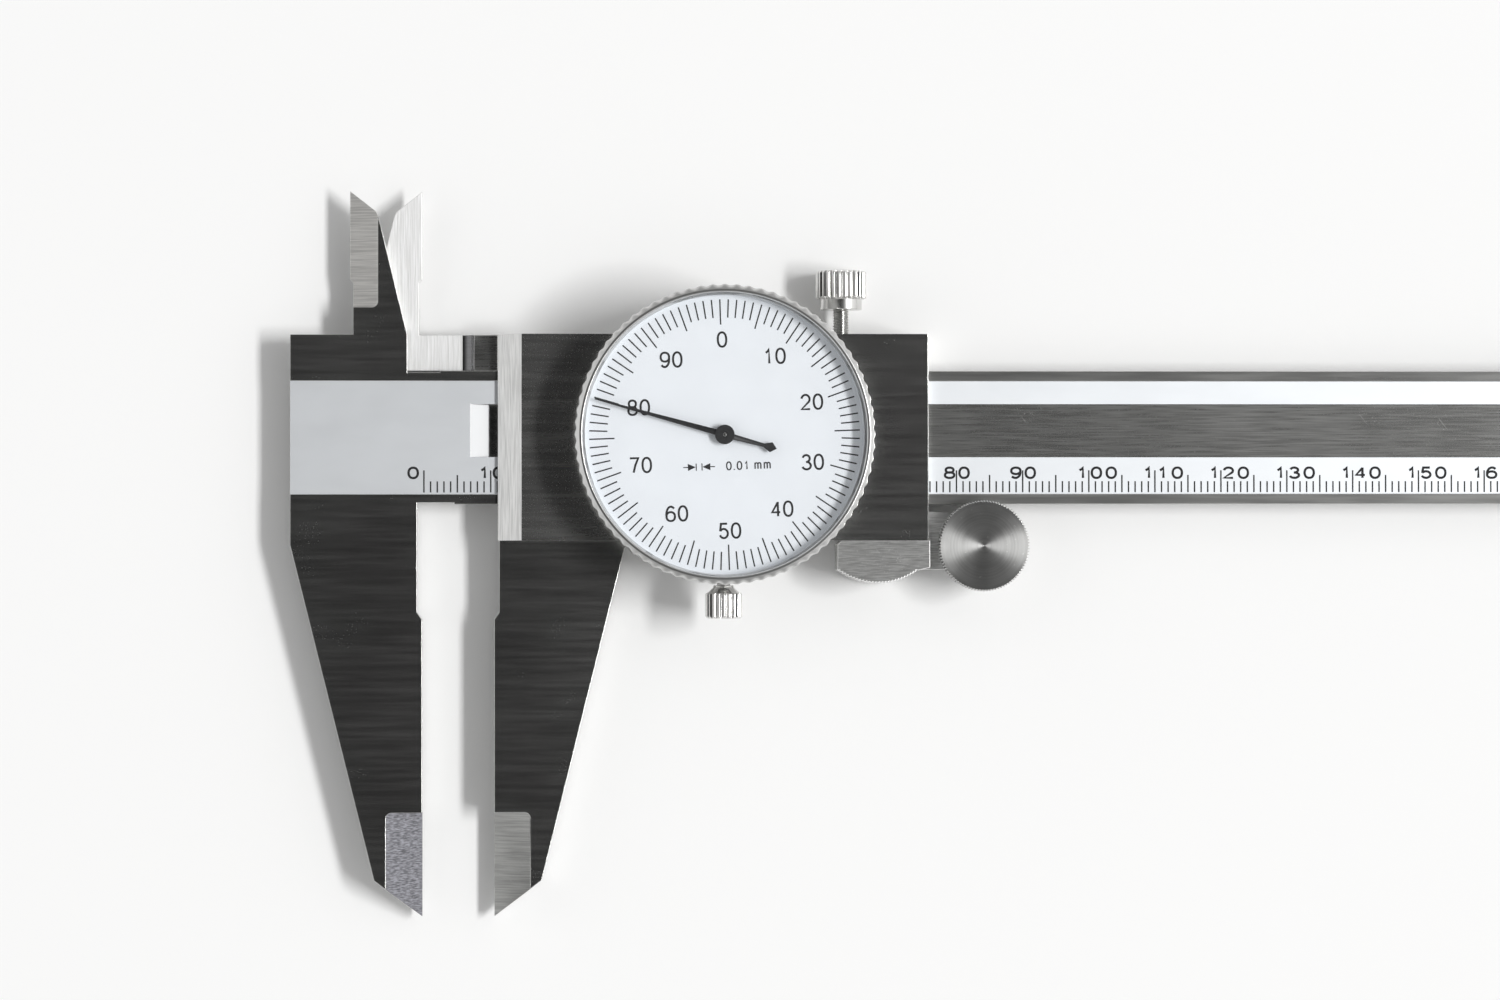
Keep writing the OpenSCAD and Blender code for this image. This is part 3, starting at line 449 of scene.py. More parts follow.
FOOT_GROUND = GroundSteel("ground_foot", (0.6, 0.6, 0.59), 0.36, Grain.ALONG_X, 0.1, 2e-6, 0.2)
RAMP_GROUND = GroundSteel("ground_ramp", (0.2, 0.2, 0.205), 0.24, Grain.ALONG_X, 0.1, 2e-6, 0.2)
EDGE_GROUND = GroundSteel("ground_edge", (0.66, 0.66, 0.65), 0.36, Grain.ALONG_X, 0.1, 2e-6, 0.2)
# The others: name, tone, roughness.
# The eased edges' finish is worn metal, and its pale tone is also a painted highlight along the
# edges.
WORN_EDGE_AND_HIGHLIGHT = SatinChrome("worn_edge_and_highlight", (0.92, 0.92, 0.91), 0.55)
CHROME_BAND = SatinChrome("chrome_band", (0.91, 0.935, 0.96), 0.52, drift=0.055)
# The run-out slope is the band's chrome painted about half as bright: painted shade that holds
# down the key's glare on it.
RUNOUT_CHROME_PAINTED_SHADE = SatinChrome("chrome_slope_painted_shade", (0.49, 0.495, 0.50), 0.6)
BEZEL_SATIN = SatinChrome("bezel_satin", (0.64, 0.64, 0.63), 0.3, grit=2e-6)
NICKEL = SatinChrome("nickel_plate", (0.74, 0.735, 0.72), 0.24, grit=0.5e-6)
THREAD_STEEL = SatinChrome("thread_steel", (0.54, 0.54, 0.53), 0.3, grit=0.5e-6)
PLAIN_STEEL = SatinChrome("plain_steel", (0.56, 0.56, 0.56), 0.4)
BRASS = TurnedSteel("brass", (0.76, 0.58, 0.28), 0.32)
BLUED = TurnedSteel("blued_spring", (0.16, 0.22, 0.42), 0.3)
ENAMEL = DialEnamel("dial_enamel", (0.86, 0.895, 0.935), 0.5)
SPACER = DialEnamel("spacer_coat", (0.58, 0.6, 0.62), 0.6)
INK = BlackCoat("print_ink", (0.008, 0.008, 0.009), 0.7)
LACQUER = BlackCoat("pointer_lacquer", (0.009, 0.009, 0.01), 0.5)
CRYSTAL = ClearCrystal("clear_crystal", (0.95, 0.97, 1.0), 0.04, haze=0.006)
FLOOR = PaleFloor("pale_floor", (0.97, 0.97, 0.965), 0.9)


class Recipe:
    """A Geometry Nodes tree with named inputs, run once and turned into a plain mesh.

    A subclass is a dataclass. Its fields are the tree's inputs. Those of the type Length are in
    mm and go into the tree in metres. The others are counts, shares and angles in radians.
    """

    def shape(self, graph: Graph, base: Value, size: Mapping[str, Value]) -> Value:
        """Adds the nodes that make the shape.

        Args:
            graph: The tree's graph.
            base: The mesh that comes in.
            size: The named inputs.

        Returns:
            The geometry before its instances are made real.
        """
        raise NotImplementedError

    def run(self, base: bpy.types.Mesh | None, finish: Finish) -> bpy.types.Mesh:
        """Builds the tree, sets its inputs and returns the mesh that it makes.

        Args:
            base: The mesh to start from, or None for an empty one.
            finish: The finish of every face.

        Returns:
            A plain mesh, with no modifier left.
        """
        name = type(self).__name__
        values = {
            part.name: getattr(self, part.name) * (MM if part.type == "Length" else 1)
            for part in fields(self)
        }
        tree = bpy.data.node_groups.new(name, "GeometryNodeTree")
        add = tree.interface.new_socket
        for way in ("INPUT", "OUTPUT"):
            add("Mesh", in_out=way, socket_type="NodeSocketGeometry")
        kinds = {int: "NodeSocketInt", float: "NodeSocketFloat"}
        sockets = {
            part: add(part, in_out="INPUT", socket_type=kinds[type(value)])
            for part, value in values.items()
        }
        skin = add("finish", in_out="INPUT", socket_type="NodeSocketMaterial")
        graph = Graph(tree)
        entry = graph.node("NodeGroupInput", out="Mesh")
        made = self.shape(graph, entry, {part: entry.other(part) for part in sockets})
        real = graph.node("GeometryNodeRealizeInstances", {"Geometry": made})
        dressed = graph.node(
            "GeometryNodeSetMaterial", {"Geometry": real, "Material": entry.other("finish")}
        )
        graph.node("NodeGroupOutput", {0: dressed})
        carrier = bpy.data.objects.new(name, base or bpy.data.meshes.new(name))
        modifier = carrier.modifiers.new(name, "NODES")
        modifier.node_group = tree
        for part, socket in sockets.items():
            modifier[socket.identifier] = values[part]
        modifier[skin.identifier] = finish.material()
        bpy.context.scene.collection.objects.link(carrier)
        depsgraph = bpy.context.evaluated_depsgraph_get()
        mesh = bpy.data.meshes.new_from_object(carrier.evaluated_get(depsgraph))
        carrier.modifiers.remove(modifier)
        bpy.data.objects.remove(carrier)
        return mesh


@dataclass
class ScaleLines(Recipe):
    """A row of scale lines along X, with longer ones at every fifth and tenth."""

    count: int
    pitch: Length
    width: Length
    short: Length
    middle: Length
    long: Length
    ink: Length
    start_x: Length
    start_y: Length
    start_z: Length

    def shape(self, graph: Graph, base: Value, size: Mapping[str, Value]) -> Value:
        """Stands one thin block on each point of a line of points."""
        points = graph.node(
            "GeometryNodeMeshLine",
            {
                "Count": size["count"],
                "Start Location": graph.vector(size["start_x"], size["start_y"], size["start_z"]),
                "Offset": graph.vector(size["pitch"], 0.0, 0.0),
            },
        )
        index = graph.node("GeometryNodeInputIndex")
        fifth = (index % 5.0).below(0.5)
        tenth = (index % 10.0).below(0.5)
        length = (
            size["short"]
            + fifth * (size["middle"] - size["short"])
            + tenth * (size["long"] - size["middle"])
        )
        placed = graph.node(
            "GeometryNodeSetPosition",
            {"Geometry": points, "Offset": graph.vector(0.0, length / 2.0, 0.0)},
        )
        block = graph.node(
            "GeometryNodeMeshCube", {"Size": graph.vector(size["width"], 1.0, size["ink"])}
        )
        return graph.node(
            "GeometryNodeInstanceOnPoints",
            {"Points": placed, "Instance": block, "Scale": graph.vector(1.0, length, 1.0)},
        )


@dataclass
class DialLines(Recipe):
    """A ring of dial lines about Z, with longer ones at every fifth."""

    count: int
    outer: Length
    width: Length
    short: Length
    long: Length
    ink: Length
    turn: float

    def shape(self, graph: Graph, base: Value, size: Mapping[str, Value]) -> Value:
        """Lays one thin block on each spoke of the dial."""
        points = graph.node("GeometryNodeMeshLine", {"Count": size["count"]})
        index = graph.node("GeometryNodeInputIndex")
        angle = index / size["count"] * math.tau + size["turn"]
        fifth = (index % 5.0).below(0.5)
        length = size["short"] + fifth * (size["long"] - size["short"])
        radius = size["outer"] - length / 2.0
        spoke = graph.vector(radius * angle.cosine(), radius * angle.sine(), 0.0)
        placed = graph.node("GeometryNodeSetPosition", {"Geometry": points, "Position": spoke})
        block = graph.node(
            "GeometryNodeMeshCube", {"Size": graph.vector(1.0, size["width"], size["ink"])}
        )
        return graph.node(
            "GeometryNodeInstanceOnPoints",
            {
                "Points": placed,
                "Instance": block,
                "Rotation": graph.vector(0.0, 0.0, angle),
                "Scale": graph.vector(length, 1.0, 1.0),
            },
        )


@dataclass
class RimFlutes(Recipe):
    """Flutes cut into the outside of a turned piece about Z, between two levels."""

    count: int
    depth: Length
    narrow: float
    low: Length
    high: Length
    ease_low: Length
    ease_high: Length
    core: Length

    def shape(self, graph: Graph, base: Value, size: Mapping[str, Value]) -> Value:
        """Moves the outer points inwards in waves."""
        x, y, z = graph.split(graph.node("GeometryNodeInputPosition"))
        radius = (x * x + y * y).root()
        phase = graph.math("ARCTAN2", y, x) * size["count"]
        cut = (0.5 - phase.cosine() / 2.0) ** size["narrow"]
        band = z.step(size["low"] - size["ease_low"], size["low"]) * (
            1.0 - z.step(size["high"], size["high"] + size["ease_high"])
        )
        share = cut * band * radius.above(size["core"]) * size["depth"] / (radius + 1e-9)
        offset = graph.vector(0.0 - x * share, 0.0 - y * share, 0.0)
        return graph.node("GeometryNodeSetPosition", {"Geometry": base, "Offset": offset})


@dataclass
class ScrewThread(Recipe):
    """A raised thread about Z, as one ridge along a helix."""

    turns: float
    pitch: Length
    radius: Length
    ridge: Length

    STEPS, SIDES = 28, 4

    def shape(self, graph: Graph, base: Value, size: Mapping[str, Value]) -> Value:
        """Sweeps a small square along the helix, with one corner outwards."""
        helix = graph.node(
            "GeometryNodeCurveSpiral",
            {
                "Resolution": self.STEPS,
                "Rotations": size["turns"],
                "Start Radius": size["radius"],
                "End Radius": size["radius"],
                "Height": size["turns"] * size["pitch"],
            },
        )
        upright = graph.node("GeometryNodeSetCurveNormal", {"Curve": helix}, mode="Z_UP")
        ridge = graph.node(
            "GeometryNodeCurvePrimitiveCircle",
            {"Resolution": self.SIDES, "Radius": size["ridge"]},
        )
        return graph.node(
            "GeometryNodeCurveToMesh",
            {"Curve": upright, "Profile Curve": ridge, "Fill Caps": True},
        )


@dataclass(frozen=True)
class FaceRule:
    """Which faces of a piece take a finish: those in a box, in mm, that face a way."""

    finish: Finish
    low: Triple = (-FAR, -FAR, -FAR)
    high: Triple = (FAR, FAR, FAR)
    facing: Triple = (0.0, 0.0, 1.0)
    least: float = 0.95

    def takes(self, middle: Vector, normal: Vector) -> bool:
        """Tells whether a face with this middle and normal takes the finish."""
        spot = middle / MM
        inside = all(lo <= s <= hi for lo, s, hi in zip(self.low, spot, self.high))
        return inside and normal.dot(Vector(self.facing).normalized()) >= self.least


def added(name: str, data: bpy.types.ID) -> bpy.types.Object:
    """Adds an object with this data to the scene."""
    made = bpy.data.objects.new(name, data)
    bpy.context.scene.collection.objects.link(made)
    return made


def baked(work: bmesh.types.BMesh, name: str) -> bpy.types.Mesh:
    """Turns a working mesh into a plain one of this name."""
    mesh = bpy.data.meshes.new(name)
    work.to_mesh(mesh)
    work.free()
    return mesh


def raised(work: bmesh.types.BMesh, ink: float, name: str) -> bpy.types.Mesh:
    """Gives flat faces a thickness, in mm, and returns them as a mesh of this name."""
    made = bmesh.ops.extrude_face_region(work, geom=work.faces[:])
    top = [part for part in made["geom"] if isinstance(part, bmesh.types.BMVert)]
    bmesh.ops.translate(work, verts=top, vec=(0.0, 0.0, ink * MM))
    bmesh.ops.recalc_face_normals(work, faces=work.faces)
    return baked(work, name)


def shift(x: float, y: float, z: float = 0.0) -> Matrix:
    """Returns a move by millimetres."""
    return Matrix.Translation((x * MM, y * MM, z * MM))


def polar(radius: float, angle: float) -> Point:
    """Returns the X and Y of a place on a circle."""
    return radius * math.cos(angle), radius * math.sin(angle)


class Bench:
    """Makes meshes into pieces that ride on the frame's bodies."""

    SMOOTH = math.radians(32)
    SHARP = math.radians(11.5)
    EASED = math.radians(24)
    FLAT = math.radians(0.4)
    MERGED = 1e-6

    def __init__(self, nodes: Mapping[str, bpy.types.Object]) -> None:
        """Keeps the frame's nodes by name."""
        self.nodes = nodes
        self.dressed: set[str] = set()

    def piece(
        self,
        name: str,
        mesh: bpy.types.Mesh,
        body: str,
        replaces: Iterable[str] = (),
        slot: str | None = None,
    ) -> bpy.types.Object:
        """Adds a finished mesh to the scene.

        Args:
            name: The piece's name.
            mesh: Its mesh, in place.
            body: The body that it rides on.
            replaces: The nodes that it stands for.
            slot: The record's material slot, if it has one; not used.

        Returns:
            The new object.
        """
        mesh.shade_smooth()
        mesh.set_sharp_from_angle(angle=self.SMOOTH)
        made = added(name, mesh)
        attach(made, body)
        names = tuple(replaces)
        if names:
            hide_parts(*names)
            self.dressed.update(names)
        LOG.info("%s: %d faces on %s", name, len(mesh.polygons), body)
        return made

    def copy_of(
        self,
        node: str,
        body: str,
        finish: Finish,
        rules: Sequence[FaceRule] = (),
        bevel: float = 0.1,
        slot: str | None = None,
        edge: Finish | None = None,
        crisp_side: Finish | None = None,
    ) -> None:
        """Adds a merged copy of a node with eased edges and a finish for each group of faces.

        Args:
            node: The node to stand for.
            body: The body that it rides on.
            finish: The finish of faces that no rule takes.
            rules: Finishes of other faces, the first that fits.
            bevel: Width of the eased edges, in mm.
            slot: The record's material slot, if it has one; passed on, but not used.
            edge: Finish of the eased edges, which are worn bright and carry a painted highlight.
            crisp_side: Finish whose faces keep their edges as they are.
        """
        work = bmesh.new()
        work.from_mesh(self.nodes[node].data)
        bmesh.ops.remove_doubles(work, verts=work.verts, dist=self.MERGED)
        bmesh.ops.dissolve_limit(
            work, angle_limit=self.FLAT, verts=work.verts, edges=work.edges
        )
        weight = work.edges.layers.float.new("bevel_weight_edge")
        finishes = [finish]
        for face in work.faces:
            middle = face.calc_center_median()
            taken = next((r.finish for r in rules if r.takes(middle, face.normal)), finish)
            if taken not in finishes:
                finishes.append(taken)
            face.material_index = finishes.index(taken)
        for rim in work.edges:
            crisp = any(finishes[face.material_index] == crisp_side for face in rim.link_faces)
            rim[weight] = float(rim.calc_face_angle(0.0) > self.EASED and not crisp)
        mesh = baked(work, f"{node}_dressed")
        for used in finishes + ([edge] if edge else []):
            mesh.materials.append(used.material())
        made = self.piece(f"{node}_dressed", mesh, body, [node], slot)
        mesh.set_sharp_from_angle(angle=self.SHARP)
        ease = made.modifiers.new("eased_edges", "BEVEL")
        ease.width = bevel * MM
        ease.segments = 2
        ease.limit_method = "WEIGHT"
        ease.harden_normals = True
        ease.use_clamp_overlap = False
        ease.material = len(finishes) if edge else -1

    def dress(self, finish: Finish, *names: str) -> None:
        """Gives nodes that keep their own mesh a finish."""
        for name in names:
            mesh = self.nodes[name].data
            mesh.materials.clear()
            mesh.materials.append(finish.material())
            self.dressed.add(name)

    def undressed(self) -> list[str]:
        """Names the nodes that have no finish yet."""
        return sorted(set(self.nodes) - self.dressed)


def lathe(profile: Profile, segments: int) -> bpy.types.Mesh:
    """Turns a closed profile about Z.

    Args:
        profile: Radius and height of each corner, in mm. A radius of zero is a pole.
        segments: Number of steps around.

    Returns:
        A closed mesh with its normals outwards.
    """
    work = bmesh.new()
    rings: list[list[bmesh.types.BMVert]] = []
    for radius, height in profile:
        steps = segments if radius > 0 else 1
        places = [polar(radius * MM, math.tau * i / segments) for i in range(steps)]
        rings.append([work.verts.new((x, y, height * MM)) for x, y in places])
    open_ends = profile[0][0] == 0 and profile[-1][0] == 0
    last = len(rings) - 1 if open_ends else len(rings)
    for k in range(last):
        here, there = rings[k], rings[(k + 1) % len(rings)]
        for i in range(segments):
            corners = [
                here[i % len(here)],
                here[(i + 1) % len(here)],
                there[(i + 1) % len(there)],
                there[i % len(there)],
            ]
            work.faces.new(list(dict.fromkeys(corners)))
    bmesh.ops.recalc_face_normals(work, faces=work.faces)
    return baked(work, "turned")


def eased(profile: Profile, radius: float, closed: bool = True) -> Path:
    """Rounds the corners of a profile.

    Args:
        profile: Corners of the profile, in mm.
        radius: How far from each corner the rounding starts, at most a third of a side.
        closed: Whether the last corner joins the first.

    Returns:
        The profile with three points at each corner.
    """
    points = [Vector(p) for p in profile]
    made: Path = []
    for i, corner in enumerate(points):
        if not closed and i in (0, len(points) - 1):
            made.append(tuple(corner))
            continue
        before, after = points[i - 1], points[(i + 1) % len(points)]
        back, ahead = before - corner, after - corner
        start = corner + back.normalized() * min(radius, back.length / 3)
        end = corner + ahead.normalized() * min(radius, ahead.length / 3)
        made += [tuple(start), tuple((start + end + 2 * corner) / 4), tuple(end)]
    return made


def joined(name: str, meshes: Sequence[bpy.types.Mesh], finish: Finish) -> bpy.types.Mesh:
    """Joins meshes into one mesh of one finish and removes the parts."""
    work = bmesh.new()
    for part in meshes:
        work.from_mesh(part)
        bpy.data.meshes.remove(part)
    for face in work.faces:
        face.material_index = 0
    mesh = baked(work, name)
    mesh.materials.append(finish.material())
    return mesh


def arc(
    x: float, y: float, rx: float, ry: float, start: float, end: float, steps: int = 16
) -> Path:
    """Returns points of an ellipse about (x, y), from one angle to another, in degrees."""
    angles = [math.radians(start + (end - start) * i / steps) for i in range(steps + 1)]
    return [(x + rx * math.cos(a), y + ry * math.sin(a)) for a in angles]


def loop(x: float, y: float, rx: float, ry: float) -> Path:
    """Returns the points of a whole ellipse, a little squared."""
    power, steps = 0.9, 32
    circle = arc(0.0, 0.0, 1.0, 1.0, 0.0, 360.0, steps)
    squared = [[math.copysign(abs(part) ** power, part) for part in point] for point in circle]
    return [(x + rx * dx, y + ry * dy) for dx, dy in squared]


# Strokes of each sign, in a box about one wide and one high.
SIX: list[Path] = [loop(0.0, -0.19, 0.5, 0.31), arc(0.05, -0.05, 0.55, 0.55, 48, 188)]
FIGURES: dict[str, list[Path]] = {
    "0": [loop(0.0, 0.0, 0.5, 0.5)],
    "1": [[(-0.27, 0.24), (-0.02, 0.36), (0.1, 0.5), (0.1, -0.5)]],
    "2": [arc(0.0, 0.2, 0.48, 0.3, 172, -38) + [(-0.5, -0.5), (0.5, -0.5)]],
    "3": [arc(-0.02, 0.26, 0.42, 0.24, 165, -95), arc(0.0, -0.24, 0.5, 0.26, 95, -165)],
    "4": [[(0.24, -0.5), (0.24, 0.5)], [(0.24, 0.46), (-0.46, -0.22), (0.5, -0.22)]],
    "5": [[(0.42, 0.5), (-0.3, 0.5), (-0.42, -0.02)], arc(0.0, -0.18, 0.48, 0.32, 146, -160)],
    "6": SIX,
    "7": [[(-0.5, 0.5), (0.48, 0.5), (0.12, 0.02), (-0.12, -0.5)]],
    "8": [loop(0.0, 0.26, 0.42, 0.24), loop(0.0, -0.23, 0.5, 0.27)],
    "9": [[(-x, -y) for x, y in path] for path in SIX],
    ".": [[(0.0, -0.54), (0.0, -0.42)]],
    "m": [
        [(-0.66, -0.5), (-0.66, 0.3)],
        arc(-0.33, 0.05, 0.33, 0.22, 180, 0) + [(0.0, -0.5)],
        arc(0.33, 0.05, 0.33, 0.22, 180, 0) + [(0.66, -0.5)],
    ],
}
ADVANCE: dict[str, float] = {".": 0.4, "m": 1.4, " ": 0.35}


@dataclass(frozen=True)
class Lettering:
    """Plain figures printed in strokes: their height, width, weight and gap, in mm."""

    height: float
    width: float
    weight: float
    gap: float = 0.3

    INK, LIFT = 0.02, 0.004
    MITRE = 0.65
    SAME = 1e-6

    def stroke(self, work: bmesh.types.BMesh, path: Path, place: Matrix) -> None:
        """Lays one stroke as a flat ribbon of even width."""
        tall, wide = self.height - self.weight, self.width - self.weight
        points = [Vector((x * wide, y * tall)) for x, y in path]
        closed = (points[0] - points[-1]).length < self.SAME
        if closed:
            points.pop()
        pairs = []
        for i, point in enumerate(points):
            ahead = points[(i + 1) % len(points)] - point
            back = point - points[i - 1]
            if not closed:
                ahead = back if i == len(points) - 1 else ahead
                back = ahead if i == 0 else back
            back, ahead = back.normalized(), ahead.normalized()
            across = (back + ahead).orthogonal().normalized()
            reach = self.weight / 2 / max(across.dot(back.orthogonal()), self.MITRE)
            sides = (point + across * reach, point - across * reach)
            pairs.append([work.verts.new(place @ side.to_3d()) for side in sides])
        for i in range(len(pairs) if closed else len(pairs) - 1):
            (a, b), (c, d) = pairs[i], pairs[(i + 1) % len(pairs)]
            work.faces.new([b, d, c, a])

    def mesh(self, words: str, x: float, y: float, z: float) -> bpy.types.Mesh:
        """Prints figures about a place.

        Args:
            words: The figures.
            x: Middle of the figures along X, in mm.
            y: Middle of the figures along Y, in mm.
            z: Level of the surface, in mm.

        Returns:
            A thin solid mesh.
        """
        steps = [self.width * ADVANCE.get(sign, 1.0) + self.gap for sign in words]
        left = x - (sum(steps) - self.gap) / 2
        work = bmesh.new()
        for sign, step in zip(words, steps):
            place = shift(left + (step - self.gap) / 2, y, z) @ Matrix.Scale(MM, 4)
            for path in FIGURES.get(sign, []):
                self.stroke(work, path, place)
                place = shift(0.0, 0.0, self.LIFT) @ place
            left += step
        return raised(work, self.INK, "figures")


@dataclass
class Studio:
    """Floor, light and camera, with the camera solved from the caliper's own points."""

    image_width: float = 1500.0
    focal_px: float = 4637.4
    camera_at: Triple = (41.363, -19.446, 700.0)
    camera_turn: Triple = (0.82977, -2.26401, -0.05801)
    sensor: float = 36.0
    clip: Point = (10.0, 50000.0)
    floor_level: float = -1.86
    floor_half: float = 4000.0
    key_tilt: float = 41.0
    key_range: float = 9000.0
    key_size: Point = (1050.0, 4200.0)
    key_power: float = 558.0
    world_strength: float = 0.93
    ceiling_lean: float = 6.0
    ceiling_light: float = 0.012
    ceiling_edge: Point = (0.03, 0.33)
    wall_dim: float = 0.85
    wall_rise: Point = (0.05, 0.3)

    def floor(self) -> None:
        """Lays the white sheet under the caliper."""
        reach, level = self.floor_half * MM, self.floor_level * MM
        work = bmesh.new()
        corners = [(-1, -1), (1, -1), (1, 1), (-1, 1)]
        work.faces.new([work.verts.new((x * reach, y * reach, level)) for x, y in corners])
        mesh = baked(work, "floor")
        mesh.materials.append(FLOOR.material())
        floor = added("floor", mesh)

    def key(self) -> None:
        """Hangs a long, narrow softbox on the right, so that shadows fall to the left."""
        lamp = bpy.data.lights.new("key", "AREA")
        lamp.shape = "RECTANGLE"
        lamp.size, lamp.size_y = (side * MM for side in self.key_size)
        lamp.energy = self.key_power
        holder = added("key", lamp)
        turn = Euler((0.0, math.radians(self.key_tilt), 0.0))
        reach = Vector((0.0, 0.0, self.key_range))
        reach.rotate(turn)
        holder.rotation_euler = turn
        holder.location = (Vector(self.camera_at) * Vector((1.0, 1.0, 0.0)) + reach) * MM

    def world(self) -> None:
        """Makes pale walls under a dark ceiling, with the walls front and back less bright."""
        world = bpy.data.worlds.new("studio")
        world.use_nodes = True
        world.node_tree.nodes.clear()
        graph = Graph(world.node_tree)
        x, y, z = graph.split(graph.node("ShaderNodeTexCoord", out="Generated"))
        lean = math.radians(self.ceiling_lean)
        walls = (1.0 - z * math.cos(lean) + x * math.sin(lean)).step(*self.ceiling_edge)
        dim = y * y * z.step(*self.wall_rise)
        light = self.ceiling_light + walls * (1.0 - self.wall_dim * dim)
        backdrop = graph.node(
            "ShaderNodeBackground",
            {"Color": (1.0, 1.0, 1.0, 1.0), "Strength": light * self.world_strength},
        )
        graph.node("ShaderNodeOutputWorld", {"Surface": backdrop})
        bpy.context.scene.world = world

    def camera(self) -> None:
        """Sets up the camera over the caliper."""
        lens = bpy.data.cameras.new("camera")
        lens.sensor_fit = "HORIZONTAL"
        lens.sensor_width = self.sensor
        lens.lens = self.focal_px / self.image_width * self.sensor
        lens.clip_start, lens.clip_end = (end * MM for end in self.clip)
        holder = added("camera", lens)
        holder.location = Vector(self.camera_at) * MM
        holder.rotation_euler = Euler([math.radians(a) for a in self.camera_turn], "XYZ")
        bpy.context.scene.camera = holder

    def build(self) -> None:
        """Sets the whole stage."""
        bpy.context.scene.view_settings.view_transform = "Standard"
        self.floor()
        self.key()
        self.world()
        self.camera()


@dataclass
class Beam:
    """The ground beam with the fixed jaws, its scale, rack and end stop."""

    bench: Bench
    face_z: float = 4.0
    band_z: float = 3.85
    runout: Point = (26.5, 30.8)
    zero_x: float = 20.0
    line_foot: float = -8.23
    longest: int = 300
    figure_y: float = -5.3
    figure_x: Triple = (-1.03, 1.15, 3.4)
    zero_shift: float = -1.6
    figures: Lettering = Lettering(1.9, 1.74, 0.35)

    def rules(self) -> list[FaceRule]:
        """Says which faces of the beam have which finish."""
        band = (-FAR, -9.0, self.band_z - NEAR), (FAR, 9.0, self.band_z + NEAR)
        nib = (-FAR, 19.0, 2.0), (FAR, 60.0, self.face_z - NEAR)
        knife = (-FAR, -90.0, 0.5), (FAR, -50.0, self.face_z - NEAR)
        slope = (self.runout[0], -4.0, 2.0), (self.runout[1], 6.0, 3.84)
        jaw = (-FAR, -90.0, self.face_z - NEAR), (FAR, -10.2, self.face_z + NEAR)
        return [
            FaceRule(CHROME_BAND, *band),
            FaceRule(NIB_GROUND, *nib, (-0.32, 0.0, 0.95), 0.97),
            FaceRule(KNIFE_FIXED_PAINTED_SHADE, *knife, (0.45, 0.0, 0.89), 0.97),
            FaceRule(RUNOUT_CHROME_PAINTED_SHADE, *slope, (0.35, 0.0, 0.94), 0.97),
            FaceRule(JAW_LAPPED, *jaw),
            FaceRule(BEAM_LAPPED),
            FaceRule(BEAM_LAPPED, facing=(0.0, 0.0, -1.0)),
        ]

    def scale(self) -> None:
        """Prints the millimetre scale on the chromed band."""
        lines = ScaleLines(
            count=self.longest + 1,
            pitch=1.0,
            width=0.21,
            short=1.66,
            middle=2.6,
            long=3.3,
            ink=0.03,
            start_x=self.zero_x,
            start_y=self.line_foot,
            start_z=self.band_z,
        )
        parts = [lines.run(None, INK)]
        for value in range(0, self.longest + 1, 10):
            x = self.zero_x + value
            for figure, along in zip(str(value), self.figure_x if value else (self.zero_shift,)):
                parts.append(self.figures.mesh(figure, x + along, self.figure_y, self.band_z))
        self.bench.piece("scale_print", joined("scale_print", parts, INK), "beam")

    def build(self) -> None:
        """Builds and dresses the beam's pieces."""
        self.bench.copy_of("main_beam", "beam", EDGE_GROUND, self.rules(), 0.07, "ground_steel")
        self.scale()
        self.bench.copy_of("end_stop", "beam", LAPPED, bevel=0.15)
        self.bench.dress(PLAIN_STEEL, "rack", "rack_pins", "end_stop_screws")


@dataclass
class Slider:
    """The slider with the moving jaws, its plates, blade, gib and thumb rest."""

    bench: Bench
    front_z: float = 7.05
    jaw_z: float = 4.0
    carrier_z: Point = (1.9, 2.0)

    def rules(self) -> list[FaceRule]:
        """Says which faces of the slider have which finish."""
        carrier = (-FAR, 9.0, self.carrier_z[0]), (FAR, 60.0, self.carrier_z[1])
        ramp = (20.0, 9.0, 1.9), (30.0, 16.0, 3.2)
        ledge = (27.0, 9.0, 2.95), (31.1, 16.0, 3.05)
        knife = (-FAR, -90.0, 0.5), (FAR, -50.0, self.jaw_z - NEAR)
        bevel = (30.0, -16.0, 4.1), (36.0, 16.0, self.front_z)
        jaw = (-FAR, -90.0, self.jaw_z - NEAR), (FAR, -15.0, self.jaw_z + NEAR)
        foot = (30.0, -17.0, -1.0), (110.0, -14.0, self.front_z)
        return [
            FaceRule(CARRIER_GROUND, *carrier),
            FaceRule(FOOT_GROUND, *foot, (0.0, -1.0, 0.0), 0.9),
            FaceRule(STRIP_GROUND, *ledge),
            FaceRule(KNIFE_MOVING, *knife, (-0.45, 0.0, 0.89), 0.97),
            FaceRule(BEVEL_GROUND, *bevel, (-0.6, 0.0, 0.8), 0.9),
            FaceRule(RAMP_GROUND, *ramp, (-0.6, 0.0, 0.8), 0.5),
            FaceRule(JAW_LAPPED, *jaw),
            FaceRule(WALL_LAPPED),
            FaceRule(LAPPED, facing=(0.0, 0.0, -1.0)),
        ]

    def build(self) -> None:
        """Builds and dresses the slider's pieces."""
        copy, dress, rules = self.bench.copy_of, self.bench.dress, self.rules()
        copy("slider", "slider", EDGE_GROUND, rules, 0.12, "ground_steel", crisp_side=FOOT_GROUND)
        copy("back_plate", "slider", LAPPED, bevel=0.15)
        copy("depth_blade", "slider", STRIP_GROUND, bevel=0.05)
        copy("thumb_rest", "slider", REST_GROUND, bevel=0.12, edge=WORN_EDGE_AND_HIGHLIGHT)
        copy("roller_arm", "slider", ARM_GROUND_PAINTED_LIGHT, bevel=0.12, edge=WORN_EDGE_AND_HIGHLIGHT)
        dress(PLAIN_STEEL, "back_plate_screws", "depth_blade_screws", "thumb_rest_screws")
        dress(PLAIN_STEEL, "roller_arm_screw", "roller_axle", "gib_screws")
        dress(BRASS, "gib")


